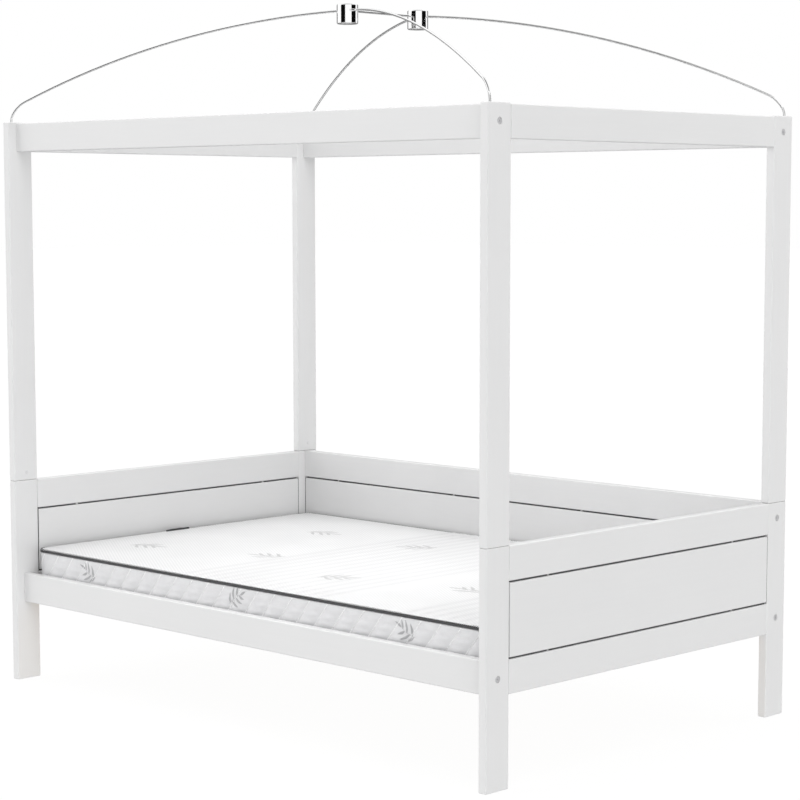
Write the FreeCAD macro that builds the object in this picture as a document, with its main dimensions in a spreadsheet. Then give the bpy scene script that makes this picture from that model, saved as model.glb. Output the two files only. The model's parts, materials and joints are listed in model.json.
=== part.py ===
"""Canopy bed: a panelled bed frame with four tall posts, a frame of rails at the top of the posts,
four bent steel rods that meet in two hubs above it, a slatted base and a mattress.

X runs along the bed, the open long side faces -Y, Z is up. The origin is on the floor under the middle.
"""
import FreeCAD
import Part
import Sketcher
import math
import os
import re

SIZES = {
    # mattress size and its room in the frame, which set the length and width of the bed
    "mattress_length": 1980,
    "mattress_width": 1196,
    "mattress_end_gap": 17,
    "mattress_side_gap": 4,
    # boards
    "leg_height": 644,
    "post_length": 1136,
    "board_thickness": 28,
    "leg_width": 88,
    "edge_round": 3.5,
    "end_round": 1.2,
    "post_end_round": 3.2,
    # low panels and front rail
    "floor_clearance": 252,
    "low_rail_height": 92,
    "cap_rail_height": 93,
    "groove_gap": 5,
    "panel_end_gap": 3.2,
    # rails at the top of the posts
    "top_rail_height": 88,
    "top_rail_drop": 3,
    # dowels
    "dowel_diameter": 10,
    "dowel_length": 60,
    "dowel_clearance": 0.15,
    "dowel_end_gap": 0.8,
    "dowel_spread": 16.5,
    "dowel_leg_bite": 18,
    "groove_dowel_bite": 20,
    "groove_dowel_inset": 164,
    "post_dowel_diameter": 8,
    "post_dowel_spread": 26,
    "joint_web": 3,
    # rail bolts and barrel nuts
    "bolt_diameter": 6,
    "bolt_tail": 10,
    "bolt_clearance": 0.3,
    "bolt_head_diameter": 18,
    "bolt_head_thickness": 4,
    "bolt_head_bevel": 0.8,
    "bolt_head_recess": 0.6,
    "bolt_head_clearance": 0.5,
    "bolt_socket_radius": 2.9,
    "bolt_socket_depth": 2.4,
    "nut_diameter": 10,
    "nut_length": 16,
    "nut_inset": 45,
    "nut_clearance": 0.2,
    "nut_bore_clearance": 0.08,
    # cam locks between legs and posts
    "cam_diameter": 15,
    "cam_height": 26,
    "cam_clearance": 0.2,
    "cam_slot_clearance": 0.8,
    "cam_floor": 1.5,
    "cam_face_recess": 0.4,
    "cam_cross_length": 8,
    "cam_cross_width": 1.6,
    "cam_cross_depth": 1.8,
    "cam_bolt_diameter": 6,
    "cam_bolt_head_diameter": 7.4,
    "cam_bolt_head_length": 4,
    "cam_bolt_clearance": 0.2,
    # slatted base
    "ledger_size": 26,
    "ledger_rise": 2,
    "ledger_end_gap": 14,
    "slat_width": 70,
    "slat_thickness": 20,
    "slat_side_gap": 4,
    "slat_end_gap": 8,
    "slat_edge_round": 2.5,
    "strap_width": 30,
    "strap_thickness": 1.2,
    "strap_inset": 120,
    "screw_diameter": 4,
    "screw_head_diameter": 8,
    "screw_head_height": 2.6,
    "screw_bite": 14,
    "screw_tip": 5,
    "screw_tip_diameter": 1,
    "screw_clearance": 0.15,
    # mattress cover, piping and core
    "mattress_corner": 40,
    "mattress_seat_gap": 0.2,
    "high_seam": 116.5,
    "low_seam": 8,
    "seam_lip": 0.7,
    "cover_lip_inset": 1.5,
    "cover_foot_inset": 5,
    "cover_waist_inset": 3,
    "crown_height": 4.5,
    "crown_corner": 7,
    "piping_diameter": 6.6,
    "piping_clearance": 0.5,
    "piping_inset": 2.2,
    "core_inset": 13,
    "core_base": 6,
    "core_top_drop": 2,
    "core_clearance": 0.3,
    # rods and hubs
    "rod_diameter": 7,
    "rod_edge": 22,
    "rod_socket": 45,
    "rod_clearance": 0.3,
    "rod_neck": 1.5,
    "rod_bend": 45,
    "rod_ease": 95,
    "rod_rise": 317,
    "hub_offset": 150,
    "hub_diameter": 64,
    "hub_height": 58,
    "hub_rod_rise": 11,
    "hub_edge_round": 4,
    "rod_stop": 10,
    "rod_end_gap": 0.5,
    "grub_diameter": 5,
    "grub_reach": 21,
    "grub_clearance": 0.15,
    "grub_rod_gap": 0.2,
    "grub_recess": 1,
    "grub_socket_radius": 1.45,
    "grub_socket_depth": 3,
    # how far every cut runs past the solid
    "overrun": 1,
}
SLAT_COUNT = 13
ROD_HUB_SLOPE_DEGREES = 2.3
# slope at which a rod's tight bend goes over into a wider one
ROD_EASE_SLOPE_DEGREES = 60
HEXAGON_SIDES = 6
QUARTER_TURN_DEGREES = 90
# a new sketch line has this length until its expression sets the real one
FIRST_LENGTH = 1

# how near to 1 the cosine between two directions is when they count as parallel
parallel_share = 0.99
# places along a quarter arc
arc_shares = (0, 0.5, 1)
# places along a board, as shares of half the span that they spread over
back_dowel_shares = (-1, -1 / 3, 1 / 3, 1)
ledger_screw_shares = (-0.88, -0.52, -0.18, 0.18, 0.52, 0.88)
# crown of the mattress: how far in from the edge, of half the width, and how high, of the crown
crown_inset_shares = (0.03, 0.10, 0.24, 0.45)
crown_height_shares = (0.3, 0.64, 0.9, 1)

X_AXIS = FreeCAD.Vector(1, 0, 0)
Y_AXIS = FreeCAD.Vector(0, 1, 0)
Z_AXIS = FreeCAD.Vector(0, 0, 1)
# each heading turns a piece made along +Z so that it points that way
HEADINGS = {
    "+x": FreeCAD.Rotation(Y_AXIS, QUARTER_TURN_DEGREES),
    "-x": FreeCAD.Rotation(Y_AXIS, -QUARTER_TURN_DEGREES),
    "+y": FreeCAD.Rotation(X_AXIS, -QUARTER_TURN_DEGREES),
    "-y": FreeCAD.Rotation(X_AXIS, QUARTER_TURN_DEGREES),
    "+z": FreeCAD.Rotation(),
    "-z": FreeCAD.Rotation(X_AXIS, 2 * QUARTER_TURN_DEGREES),
}
SIDES_X = {"left": -1, "right": 1}
SIDES_Y = {"front": -1, "back": 1}

# places that several pieces share
INNER_X = "(mattress_length / 2 + mattress_end_gap)"
LEG_X = "(mattress_length / 2 + mattress_end_gap + board_thickness / 2)"
OUTER_X = "(mattress_length / 2 + mattress_end_gap + board_thickness)"
RAIL_FACE_Y = "(mattress_width / 2 + mattress_side_gap)"
RAIL_Y = "(mattress_width / 2 + mattress_side_gap + board_thickness / 2)"
INNER_Y = "(mattress_width / 2 + mattress_side_gap + board_thickness / 2 - leg_width / 2)"
OUTER_Y = "(mattress_width / 2 + mattress_side_gap + board_thickness / 2 + leg_width / 2)"
POST_TOP = "(leg_height + post_length)"
LOW_RAIL_Z = "(floor_clearance + low_rail_height / 2)"
CAP_RAIL_Z = "(leg_height - cap_rail_height / 2)"
TOP_RAIL_Z = "(leg_height + post_length - top_rail_drop - top_rail_height / 2)"
LOW_GROOVE_Z = "(floor_clearance + low_rail_height)"
HIGH_GROOVE_Z = "(leg_height - cap_rail_height - groove_gap)"
POST_PIN_BITE = "(cap_rail_height / 2 - dowel_spread - dowel_diameter / 2 - joint_web)"
BOLT_BITE = "(nut_inset + nut_diameter / 2 + bolt_tail)"
CAM_SLOT = "(cam_bolt_head_diameter + 2 * cam_slot_clearance)"
LEDGER_Y = f"({RAIL_FACE_Y} - ledger_size / 2)"
LEDGER_Z = "(floor_clearance + ledger_rise + ledger_size / 2)"
SLAT_BASE = "(floor_clearance + ledger_rise + ledger_size)"
SLAT_HALF = f"({RAIL_FACE_Y} - slat_side_gap)"
END_SLAT_X = f"({INNER_X} - slat_end_gap - slat_width / 2)"

doc = FreeCAD.newDocument("canopy_bed")
sheet = doc.addObject("Spreadsheet::Sheet", "Sheet")
nodes = {}
blanks = {}
drills = {}
groups = {}


def fill_sheet():
    for row, (alias, number) in enumerate(SIZES.items(), start=1):
        sheet.set(f"A{row}", alias)
        sheet.set(f"B{row}", str(number))
        sheet.setAlias(f"B{row}", alias)
    doc.recompute()


def read(alias):
    return float(sheet.get(alias))


def bind(item, target, text):
    """Ties a property to an expression in the sheet's names."""
    item.setExpression(target, re.sub(r"\b([a-z]+_[a-z_]+|overrun)\b", r"Sheet.\1", text))


def shifted(place, heading, distance):
    """The place moved by a distance along a heading."""
    axis = "xyz".index(heading[1])
    moved = list(place)
    moved[axis] = f"{place[axis]} {heading[0]} ({distance})"
    return tuple(moved)


def put(item, place, heading="+z"):
    item.Placement = FreeCAD.Placement(FreeCAD.Vector(), HEADINGS[heading])
    for letter, text in zip("xyz", place):
        bind(item, f"Placement.Base.{letter}", text)
    return item


def cylinder(name, radius, length, place=("0", "0", "0"), heading="+z"):
    item = doc.addObject("Part::Cylinder", name)
    bind(item, "Radius", radius)
    bind(item, "Height", length)
    return put(item, place, heading)


def cone(name, start_radius, end_radius, length, place=("0", "0", "0")):
    item = doc.addObject("Part::Cone", name)
    bind(item, "Radius1", start_radius)
    bind(item, "Radius2", end_radius)
    bind(item, "Height", length)
    return put(item, place)


def box(name, size, place):
    """A block centred on the place in X and Y, standing on it in Z."""
    item = doc.addObject("Part::Box", name)
    for target, text in zip(("Length", "Width", "Height"), size):
        bind(item, target, text)
    low = (f"{place[0]} - ({size[0]}) / 2", f"{place[1]} - ({size[1]}) / 2", place[2])
    return put(item, low)


def hexagon(name, radius, length, place=("0", "0", "0")):
    item = doc.addObject("Part::Prism", name)
    item.Polygon = HEXAGON_SIDES
    bind(item, "Circumradius", radius)
    bind(item, "Height", length)
    return put(item, place)


def joined(name, items):
    item = doc.addObject("Part::MultiFuse", name)
    item.Shapes = items
    return item


def cut(name, base, tool):
    item = doc.addObject("Part::Cut", name)
    item.Base = base
    item.Tool = tool
    return item


def feature(name, shape, placement=None):
    item = doc.addObject("Part::Feature", name)
    item.Shape = shape
    if placement:
        item.Placement = placement
    return item


def keep(label, item):
    item.Label = label
    nodes[label] = item


def origin_plane(body, role):
    for plane in body.Origin.OriginFeatures:
        if plane.Role == role:
            return plane
    raise ValueError(role)


def attached_sketch(body, name):
    sketch = body.newObject("Sketcher::SketchObject", name)
    sketch.AttachmentSupport = [(origin_plane(body, "XY_Plane"), "")]
    sketch.MapMode = "FlatFace"
    return sketch


def rectangle(sketch, length, width):
    """A rectangle with one corner on the sketch's origin."""
    corners = [FreeCAD.Vector(x, y, 0) * FIRST_LENGTH for x, y in ((0, 0), (1, 0), (1, 1), (0, 1))]
    for start, end in zip(corners, corners[1:] + corners[:1]):
        sketch.addGeometry(Part.LineSegment(start, end))
    for line in range(4):
        sketch.addConstraint(Sketcher.Constraint("Coincident", line, 2, (line + 1) % 4, 1))
    for line, direction in enumerate(("Horizontal", "Vertical", "Horizontal", "Vertical")):
        sketch.addConstraint(Sketcher.Constraint(direction, line))
    sketch.addConstraint(Sketcher.Constraint("Coincident", 0, 1, -1, 1))
    across = sketch.addConstraint(Sketcher.Constraint("DistanceX", 0, 1, 0, 2, FIRST_LENGTH))
    along = sketch.addConstraint(Sketcher.Constraint("DistanceY", 1, 1, 1, 2, FIRST_LENGTH))
    bind(sketch, f"Constraints[{across}]", length)
    bind(sketch, f"Constraints[{along}]", width)


def edges_along(shape, axis):
    names = []
    for number, edge in enumerate(shape.Edges, start=1):
        if abs(edge.tangentAt(edge.FirstParameter).dot(axis)) > parallel_share:
            names.append(f"Edge{number}")
    return names


def faces_across(shape, axis):
    names = []
    for number, face in enumerate(shape.Faces, start=1):
        if isinstance(face.Surface, Part.Plane) and abs(face.Surface.Axis.dot(axis)) > parallel_share:
            names.append(f"Face{number}")
    return names


def board(label, size, centre, axis, edge="edge_round", end="end_round"):
    """A planed board: its long edges rounded, its ends eased. It is drilled once every joint is known."""
    body = doc.addObject("PartDesign::Body", f"{label}_blank")
    sketch = attached_sketch(body, f"{label}_outline")
    rectangle(sketch, size[0], size[1])
    pad = body.newObject("PartDesign::Pad", f"{label}_pad")
    pad.Profile = sketch
    bind(pad, "Length", size[2])
    doc.recompute()
    rounded = body.newObject("PartDesign::Fillet", f"{label}_edges")
    rounded.Base = (pad, edges_along(pad.Shape, axis))
    bind(rounded, "Radius", edge)
    doc.recompute()
    eased = body.newObject("PartDesign::Fillet", f"{label}_ends")
    eased.Base = (rounded, faces_across(rounded.Shape, axis))
    bind(eased, "Radius", end)
    put(body, tuple(f"{middle} - ({extent}) / 2" for middle, extent in zip(centre, size)))
    blanks[label] = body
    drills[label] = []


def drill(labels, hole):
    for label in labels:
        drills[label].append(hole)


def finish_boards():
    for label, body in blanks.items():
        holes = drills[label]
        if not holes:
            keep(label, body)
            continue
        tool = holes[0] if len(holes) == 1 else joined(f"{label}_holes", holes)
        keep(label, cut(f"{label}_drilled", body, tool))


def add_to_group(label, item):
    groups.setdefault(label, []).append(item)


def finish_groups():
    for label, items in groups.items():
        item = doc.addObject("Part::Compound", f"{label}_group")
        item.Links = items
        keep(label, item)


def dowel(group, name, start, heading, length, diameter, boards):
    """A dowel and the hole that it shares between two boards."""
    pin = cylinder(name, f"{diameter} / 2", length, start, heading)
    add_to_group(group, pin)
    mouth = shifted(start, heading, "0 - dowel_end_gap")
    hole = cylinder(f"{name}_hole", f"{diameter} / 2 + dowel_clearance", f"{length} + 2 * dowel_end_gap",
                    mouth, heading)
    drill(boards, hole)


def legs_and_posts():
    for side_y, sign_y in SIDES_Y.items():
        for side_x, sign_x in SIDES_X.items():
            corner = f"{side_y}_{side_x}"
            x = f"{sign_x} * {LEG_X}"
            y = f"{sign_y} * {RAIL_Y}"
            board(f"leg_{corner}", ("board_thickness", "leg_width", "leg_height"),
                  (x, y, "leg_height / 2"), Z_AXIS, end="post_end_round")
            board(f"post_{corner}", ("board_thickness", "leg_width", "post_length"),
                  (x, y, "(leg_height + post_length / 2)"), Z_AXIS, end="post_end_round")


def end_boards():
    """The rails and the infill panel at each end, flush with the legs, and the end rails of the top frame."""
    for side, sign in SIDES_X.items():
        x = f"{sign} * {LEG_X}"
        span = f"2 * {INNER_Y}"
        board(f"{side}_bottom_rail", ("board_thickness", span, "low_rail_height"),
              (x, "0", LOW_RAIL_Z), Y_AXIS)
        board(f"{side}_cap_rail", ("board_thickness", span, "cap_rail_height"), (x, "0", CAP_RAIL_Z), Y_AXIS)
        board(f"{side}_panel",
              ("board_thickness", f"{span} - 2 * panel_end_gap", infill_height()),
              (x, "0", infill_middle()), Y_AXIS)
        board(f"{side}_top_rail", ("board_thickness", span, "top_rail_height"), (x, "0", TOP_RAIL_Z), Y_AXIS)


def infill_height():
    return f"({HIGH_GROOVE_Z} - {LOW_GROOVE_Z} - groove_gap)"


def infill_middle():
    return f"({HIGH_GROOVE_Z} + {LOW_GROOVE_Z} + groove_gap) / 2"


def long_boards():
    """The boards that run along the bed, centred on the width of the legs."""
    span = f"2 * {INNER_X}"
    for side, sign in SIDES_Y.items():
        y = f"{sign} * {RAIL_Y}"
        board(f"{side}_bottom_rail", (span, "board_thickness", "low_rail_height"),
              ("0", y, LOW_RAIL_Z), X_AXIS)
        board(f"{side}_top_rail", (span, "board_thickness", "top_rail_height"), ("0", y, TOP_RAIL_Z), X_AXIS)
    board("back_cap_rail", (span, "board_thickness", "cap_rail_height"), ("0", RAIL_Y, CAP_RAIL_Z), X_AXIS)
    board("back_panel", (f"{span} - 2 * panel_end_gap", "board_thickness", infill_height()),
          ("0", RAIL_Y, infill_middle()), X_AXIS)


def rail_dowel_heights(middle):
    return [f"({middle} {sign} dowel_spread)" for sign in "-+"]


def end_rail_joints():
    """Two dowels in each end of the rails across the bed."""
    rails = (("bottom_rail", LOW_RAIL_Z, "leg"),
             ("cap_rail", CAP_RAIL_Z, "leg"),
             ("top_rail", TOP_RAIL_Z, "post"))
    for side_x, sign_x in SIDES_X.items():
        for rail, middle, upright in rails:
            for side_y, sign_y in SIDES_Y.items():
                for number, z in enumerate(rail_dowel_heights(middle)):
                    start = (f"{sign_x} * {LEG_X}", f"{sign_y} * {INNER_Y} - dowel_length / 2", z)
                    dowel("frame_dowels", f"dowel_{side_x}_{rail}_{side_y}_{number}", start, "+y",
                          "dowel_length", "dowel_diameter",
                          (f"{side_x}_{rail}", f"{upright}_{side_y}_{side_x}"))


def rail_bolt(name, side_x, y, z):
    """A flat-headed bolt made along +Z from the face of its head, turned to point into the bed."""
    inward = "-x" if side_x == "right" else "+x"
    outer = f"{SIDES_X[side_x]} * {OUTER_X}"
    shank_length = f"board_thickness - bolt_head_recess - bolt_head_thickness + {BOLT_BITE}"
    bevel = cone(f"{name}_bevel", "bolt_head_diameter / 2 - bolt_head_bevel", "bolt_head_diameter / 2",
                 "bolt_head_bevel")
    head = cylinder(f"{name}_head", "bolt_head_diameter / 2", "bolt_head_thickness - bolt_head_bevel",
                    ("0", "0", "bolt_head_bevel"))
    shank = cylinder(f"{name}_shank", "bolt_diameter / 2", shank_length, ("0", "0", "bolt_head_thickness"))
    socket = hexagon(f"{name}_socket", "bolt_socket_radius", "bolt_socket_depth + overrun",
                     ("0", "0", "0 - overrun"))
    bolt = cut(name, joined(f"{name}_solid", [bevel, head, shank]), socket)
    face = (outer, y, z)
    add_to_group("rail_bolts", put(bolt, shifted(face, inward, "bolt_head_recess"), inward))
    hole = cylinder(f"{name}_hole", "bolt_diameter / 2 + bolt_clearance",
                    f"board_thickness + {BOLT_BITE} + dowel_end_gap + overrun",
                    shifted(face, inward, "0 - overrun"), inward)
    counterbore = cylinder(f"{name}_counterbore", "bolt_head_diameter / 2 + bolt_head_clearance",
                           "bolt_head_recess + bolt_head_thickness + overrun",
                           shifted(face, inward, "0 - overrun"), inward)
    return hole, counterbore


def barrel_nut(name, side_x, y, z):
    """A cross nut in the rail, put in from the rail's +Y face."""
    x = f"{SIDES_X[side_x]} * ({INNER_X} - nut_inset)"
    plain = cylinder(f"{name}_plain", "nut_diameter / 2", "nut_length")
    bore = cylinder(f"{name}_bore", "bolt_diameter / 2 + nut_bore_clearance", "nut_diameter + 2 * overrun",
                    ("0 - nut_diameter / 2 - overrun", "0", "nut_length / 2"), "+x")
    nut = cut(name, plain, bore)
    add_to_group("barrel_nuts", put(nut, (x, f"{y} - nut_length / 2", z), "+y"))
    return cylinder(f"{name}_hole", "nut_diameter / 2 + nut_clearance",
                    "nut_length / 2 + dowel_end_gap + board_thickness / 2 + overrun",
                    (x, f"{y} - nut_length / 2 - dowel_end_gap", z), "+y")


def long_rail_joints():
    """A bolt with its barrel nut and two dowels in each end of the boards along the bed."""
    rails = (("front_bottom_rail", "front", LOW_RAIL_Z, "leg"),
             ("back_bottom_rail", "back", LOW_RAIL_Z, "leg"),
             ("back_cap_rail", "back", CAP_RAIL_Z, "leg"),
             ("front_top_rail", "front", TOP_RAIL_Z, "post"),
             ("back_top_rail", "back", TOP_RAIL_Z, "post"))
    for rail, side_y, middle, upright in rails:
        y = f"{SIDES_Y[side_y]} * {RAIL_Y}"
        for side_x, sign_x in SIDES_X.items():
            carrier = f"{upright}_{side_y}_{side_x}"
            hole, counterbore = rail_bolt(f"bolt_{rail}_{side_x}", side_x, y, middle)
            drill((rail, carrier), hole)
            drill((carrier,), counterbore)
            drill((rail,), barrel_nut(f"nut_{rail}_{side_x}", side_x, y, middle))
            outward = "+x" if side_x == "right" else "-x"
            seam = f"{sign_x} * {INNER_X}"
            for number, z in enumerate(rail_dowel_heights(middle)):
                start = shifted((seam, y, z), outward, "dowel_leg_bite - dowel_length")
                dowel("frame_dowels", f"dowel_{rail}_{side_x}_{number}", start, outward,
                      "dowel_length", "dowel_diameter", (rail, carrier))


def groove_joints():
    """Dowels that carry each infill panel between its two rails and show in the grooves."""
    length = "groove_gap + 2 * groove_dowel_bite"
    grooves = (("bottom_rail", LOW_GROOVE_Z), ("cap_rail", HIGH_GROOVE_Z))
    for rail, z in grooves:
        base = f"{z} - groove_dowel_bite"
        for side, sign in SIDES_X.items():
            for side_y, sign_y in SIDES_Y.items():
                start = (f"{sign} * {LEG_X}", f"{sign_y} * ({INNER_Y} - groove_dowel_inset)", base)
                dowel("groove_dowels", f"groove_dowel_{side}_{rail}_{side_y}", start, "+z", length,
                      "dowel_diameter", (f"{side}_{rail}", f"{side}_panel"))
        for number, share in enumerate(back_dowel_shares):
            start = (f"{share} * ({INNER_X} - groove_dowel_inset)", RAIL_Y, base)
            dowel("groove_dowels", f"groove_dowel_back_{rail}_{number}", start, "+z", length,
                  "dowel_diameter", (f"back_{rail}", "back_panel"))


def post_joints():
    """A cam lock with its bolt and two dowels between each leg and the post that stands on it."""
    cam_depth = f"(board_thickness / 2 + {CAM_SLOT} / 2 + cam_floor)"
    for side_y, sign_y in SIDES_Y.items():
        for side_x, sign_x in SIDES_X.items():
            corner = f"{side_y}_{side_x}"
            leg = f"leg_{corner}"
            post = f"post_{corner}"
            x = f"{sign_x} * {LEG_X}"
            y = f"{sign_y} * {RAIL_Y}"
            for number, sign in enumerate("-+"):
                start = (x, f"{y} {sign} post_dowel_spread", f"leg_height - {POST_PIN_BITE}")
                dowel("post_dowels", f"post_dowel_{corner}_{number}", start, "+z", f"2 * {POST_PIN_BITE}",
                      "post_dowel_diameter", (leg, post))
            foot = (x, y, f"leg_height - {POST_PIN_BITE}")
            shank = cylinder(f"cam_shank_{corner}", "cam_bolt_diameter / 2",
                             f"{POST_PIN_BITE} + cam_height - cam_bolt_head_length / 2")
            head = cylinder(f"cam_head_{corner}", "cam_bolt_head_diameter / 2", "cam_bolt_head_length",
                            ("0", "0", f"{POST_PIN_BITE} + cam_height - cam_bolt_head_length / 2"))
            add_to_group("cam_bolts", put(joined(f"cam_bolt_{corner}", [shank, head]), foot))
            drill((leg,), cylinder(f"cam_leg_hole_{corner}", "cam_bolt_diameter / 2 + cam_bolt_clearance",
                                   f"{POST_PIN_BITE} + dowel_end_gap + overrun",
                                   shifted(foot, "-z", "dowel_end_gap")))
            drill((post,), cylinder(f"cam_post_hole_{corner}",
                                    "cam_bolt_head_diameter / 2 + cam_bolt_clearance",
                                    "cam_height + overrun", (x, y, "leg_height - overrun")))
            inward = "+x" if side_x == "right" else "-x"
            face = (f"{sign_x} * {INNER_X}", y, "leg_height + cam_height")
            disc = cylinder(f"cam_disc_{corner}", "cam_diameter / 2", f"{cam_depth} - cam_face_recess")
            slot = box(f"cam_slot_{corner}", ("cam_diameter + 2 * overrun", CAM_SLOT, CAM_SLOT),
                       ("0", "0", f"board_thickness / 2 - {CAM_SLOT} / 2 - cam_face_recess"))
            cross = [box(f"cam_cross_{corner}_{number}", size + ("cam_cross_depth + overrun",),
                         ("0", "0", "0 - overrun"))
                     for number, size in enumerate((("cam_cross_length", "cam_cross_width"),
                                                    ("cam_cross_width", "cam_cross_length")))]
            cam = cut(f"cam_lock_{corner}", disc, joined(f"cam_recesses_{corner}", [slot] + cross))
            add_to_group("cam_locks", put(cam, shifted(face, inward, "cam_face_recess"), inward))
            drill((post,), cylinder(f"cam_hole_{corner}", "cam_diameter / 2 + cam_clearance",
                                    f"{cam_depth} + overrun", shifted(face, inward, "0 - overrun"), inward))


def wood_screw(group, name, place, heading, through, boards):
    """A countersunk screw made along +Z from the face of its head, through one board and into the next."""
    length = f"({through} + screw_bite)"
    head = cone(f"{name}_head", "screw_head_diameter / 2", "screw_diameter / 2", "screw_head_height")
    shank = cylinder(f"{name}_shank", "screw_diameter / 2", f"{length} - screw_head_height - screw_tip",
                     ("0", "0", "screw_head_height"))
    tip = cone(f"{name}_tip", "screw_diameter / 2", "screw_tip_diameter / 2", "screw_tip",
               ("0", "0", f"{length} - screw_tip"))
    add_to_group(group, put(joined(name, [head, shank, tip]), place, heading))
    hole = cylinder(f"{name}_hole", "screw_diameter / 2 + screw_clearance", f"{length} + dowel_end_gap",
                    place, heading)
    sink = cone(f"{name}_sink", "screw_head_diameter / 2 + screw_clearance",
                "screw_diameter / 2 + screw_clearance", "screw_head_height + screw_clearance")
    put(sink, place, heading)
    drill(boards, hole)
    drill(boards[:1], sink)


def slatted_base():
    length = f"2 * {INNER_X} - 2 * ledger_end_gap"
    for side, sign in SIDES_Y.items():
        ledger = f"{side}_ledger"
        board(ledger, (length, "ledger_size", "ledger_size"), ("0", f"{sign} * {LEDGER_Y}", LEDGER_Z), X_AXIS,
              "slat_edge_round")
        for number, share in enumerate(ledger_screw_shares):
            head = (f"{share} * ({INNER_X} - ledger_end_gap)",
                    f"{sign} * ({LEDGER_Y} - ledger_size / 2)", LEDGER_Z)
            wood_screw("ledger_screws", f"ledger_screw_{side}_{number}", head, "-y" if sign < 0 else "+y",
                       "ledger_size", (ledger, f"{side}_bottom_rail"))
    for number in range(SLAT_COUNT):
        label = f"slat_{number + 1:02d}"
        share = 2 * number / (SLAT_COUNT - 1) - 1
        x = f"{share} * {END_SLAT_X}"
        board(label, ("slat_width", f"2 * {SLAT_HALF}", "slat_thickness"),
              (x, "0", f"({SLAT_BASE} + slat_thickness / 2)"), Y_AXIS, "slat_edge_round")
        if number in (0, SLAT_COUNT - 1):
            for side, sign in SIDES_Y.items():
                head = (x, f"{sign} * {LEDGER_Y}", f"{SLAT_BASE} + slat_thickness")
                wood_screw("slat_screws", f"slat_screw_{number}_{side}", head, "-z", "slat_thickness",
                           (label, f"{side}_ledger"))
    for side, sign in SIDES_Y.items():
        strap = box(f"strap_{side}", (f"2 * {END_SLAT_X} + slat_width", "strap_width", "strap_thickness"),
                    ("0", f"{sign} * ({SLAT_HALF} - strap_inset)", f"{SLAT_BASE} - strap_thickness"))
        add_to_group("slat_straps", strap)


def rounded_outline(length, width, radius, height):
    """A closed wire of four lines and four quarter arcs, centred on Z."""
    half_x = length / 2 - radius
    half_y = width / 2 - radius
    lines = []
    arcs = []
    for quarter, (sign_x, sign_y) in enumerate(((1, 1), (-1, 1), (-1, -1), (1, -1))):
        centre = FreeCAD.Vector(sign_x * half_x, sign_y * half_y, height)
        spokes = []
        for share in arc_shares:
            turn = math.radians((quarter + share) * QUARTER_TURN_DEGREES)
            spokes.append(centre + FreeCAD.Vector(math.cos(turn), math.sin(turn), 0) * radius)
        arcs.append(Part.Arc(*spokes))
    for number, arc in enumerate(arcs):
        following = arcs[(number + 1) % len(arcs)]
        lines.append(Part.LineSegment(arc.EndPoint, following.StartPoint))
    edges = [piece.toShape() for pair in zip(arcs, lines) for piece in pair]
    return Part.Wire(edges)


def cover_profile():
    """The cover's side as (inset, height) pairs from its base to the top of its crown."""
    half_groove = read("piping_diameter") / 2 + read("piping_clearance")
    lip = read("seam_lip")
    groove = read("piping_inset") + half_groove
    low = read("low_seam")
    high = read("high_seam")
    profile = [
        (read("cover_foot_inset"), 0),
        (read("cover_lip_inset"), low - half_groove - lip),
        (groove, low - half_groove),
        (groove, low + half_groove),
        (0, low + half_groove + lip),
        (read("cover_waist_inset"), (low + high) / 2),
        (0, high - half_groove - lip),
        (groove, high - half_groove),
        (groove, high + half_groove),
        (read("cover_lip_inset"), high + half_groove + lip),
    ]
    edge = high + half_groove + lip
    for inset_share, height_share in zip(crown_inset_shares, crown_height_shares):
        profile.append((inset_share * read("mattress_width") / 2, edge + height_share * read("crown_height")))
    return profile


def mattress_outline(inset, height):
    length = read("mattress_length") - 2 * inset
    width = read("mattress_width") - 2 * inset
    radius = max(read("mattress_corner") - inset, read("crown_corner"))
    return rounded_outline(length, width, radius, height)


def piping(height):
    """A round cord laid in the groove along a seam."""
    inset = read("piping_inset")
    path = mattress_outline(inset, height)
    start = path.Edges[0].valueAt(path.Edges[0].FirstParameter)
    heading = path.Edges[0].tangentAt(path.Edges[0].FirstParameter)
    section = Part.Wire(Part.Circle(start, heading, read("piping_diameter") / 2).toShape())
    return path.makePipeShell([section], True, False)


def mattress():
    seat = sum(read(name) for name in ("floor_clearance", "ledger_rise", "ledger_size", "slat_thickness",
                                       "mattress_seat_gap"))
    place = FreeCAD.Placement(FreeCAD.Vector(0, 0, seat), FreeCAD.Rotation())
    outside = Part.makeLoft([mattress_outline(*pair) for pair in cover_profile()], True, True)
    clearance = read("core_clearance")
    base = read("core_base")
    height = read("high_seam") - read("core_top_drop") - base
    inset = read("core_inset")
    cavity = Part.Face(mattress_outline(inset - clearance, base)).extrude(Z_AXIS * (height + clearance))
    core = Part.Face(mattress_outline(inset, base)).extrude(Z_AXIS * height)
    keep("mattress_cover", feature("mattress_cover_solid", outside.cut(cavity), place))
    keep("mattress_core", feature("mattress_core_solid", core, place))
    keep("mattress_top_piping", feature("top_piping_solid", piping(read("high_seam")), place))
    keep("mattress_bottom_piping", feature("bottom_piping_solid", piping(read("low_seam")), place))


def rod_base():
    """Where a rod stands on its post, as distances from the middle of the bed."""
    x = read("mattress_length") / 2 + read("mattress_end_gap") + read("board_thickness") / 2
    rail_y = read("mattress_width") / 2 + read("mattress_side_gap") + read("board_thickness") / 2
    return x, rail_y + read("leg_width") / 2 - read("rod_edge")


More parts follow.
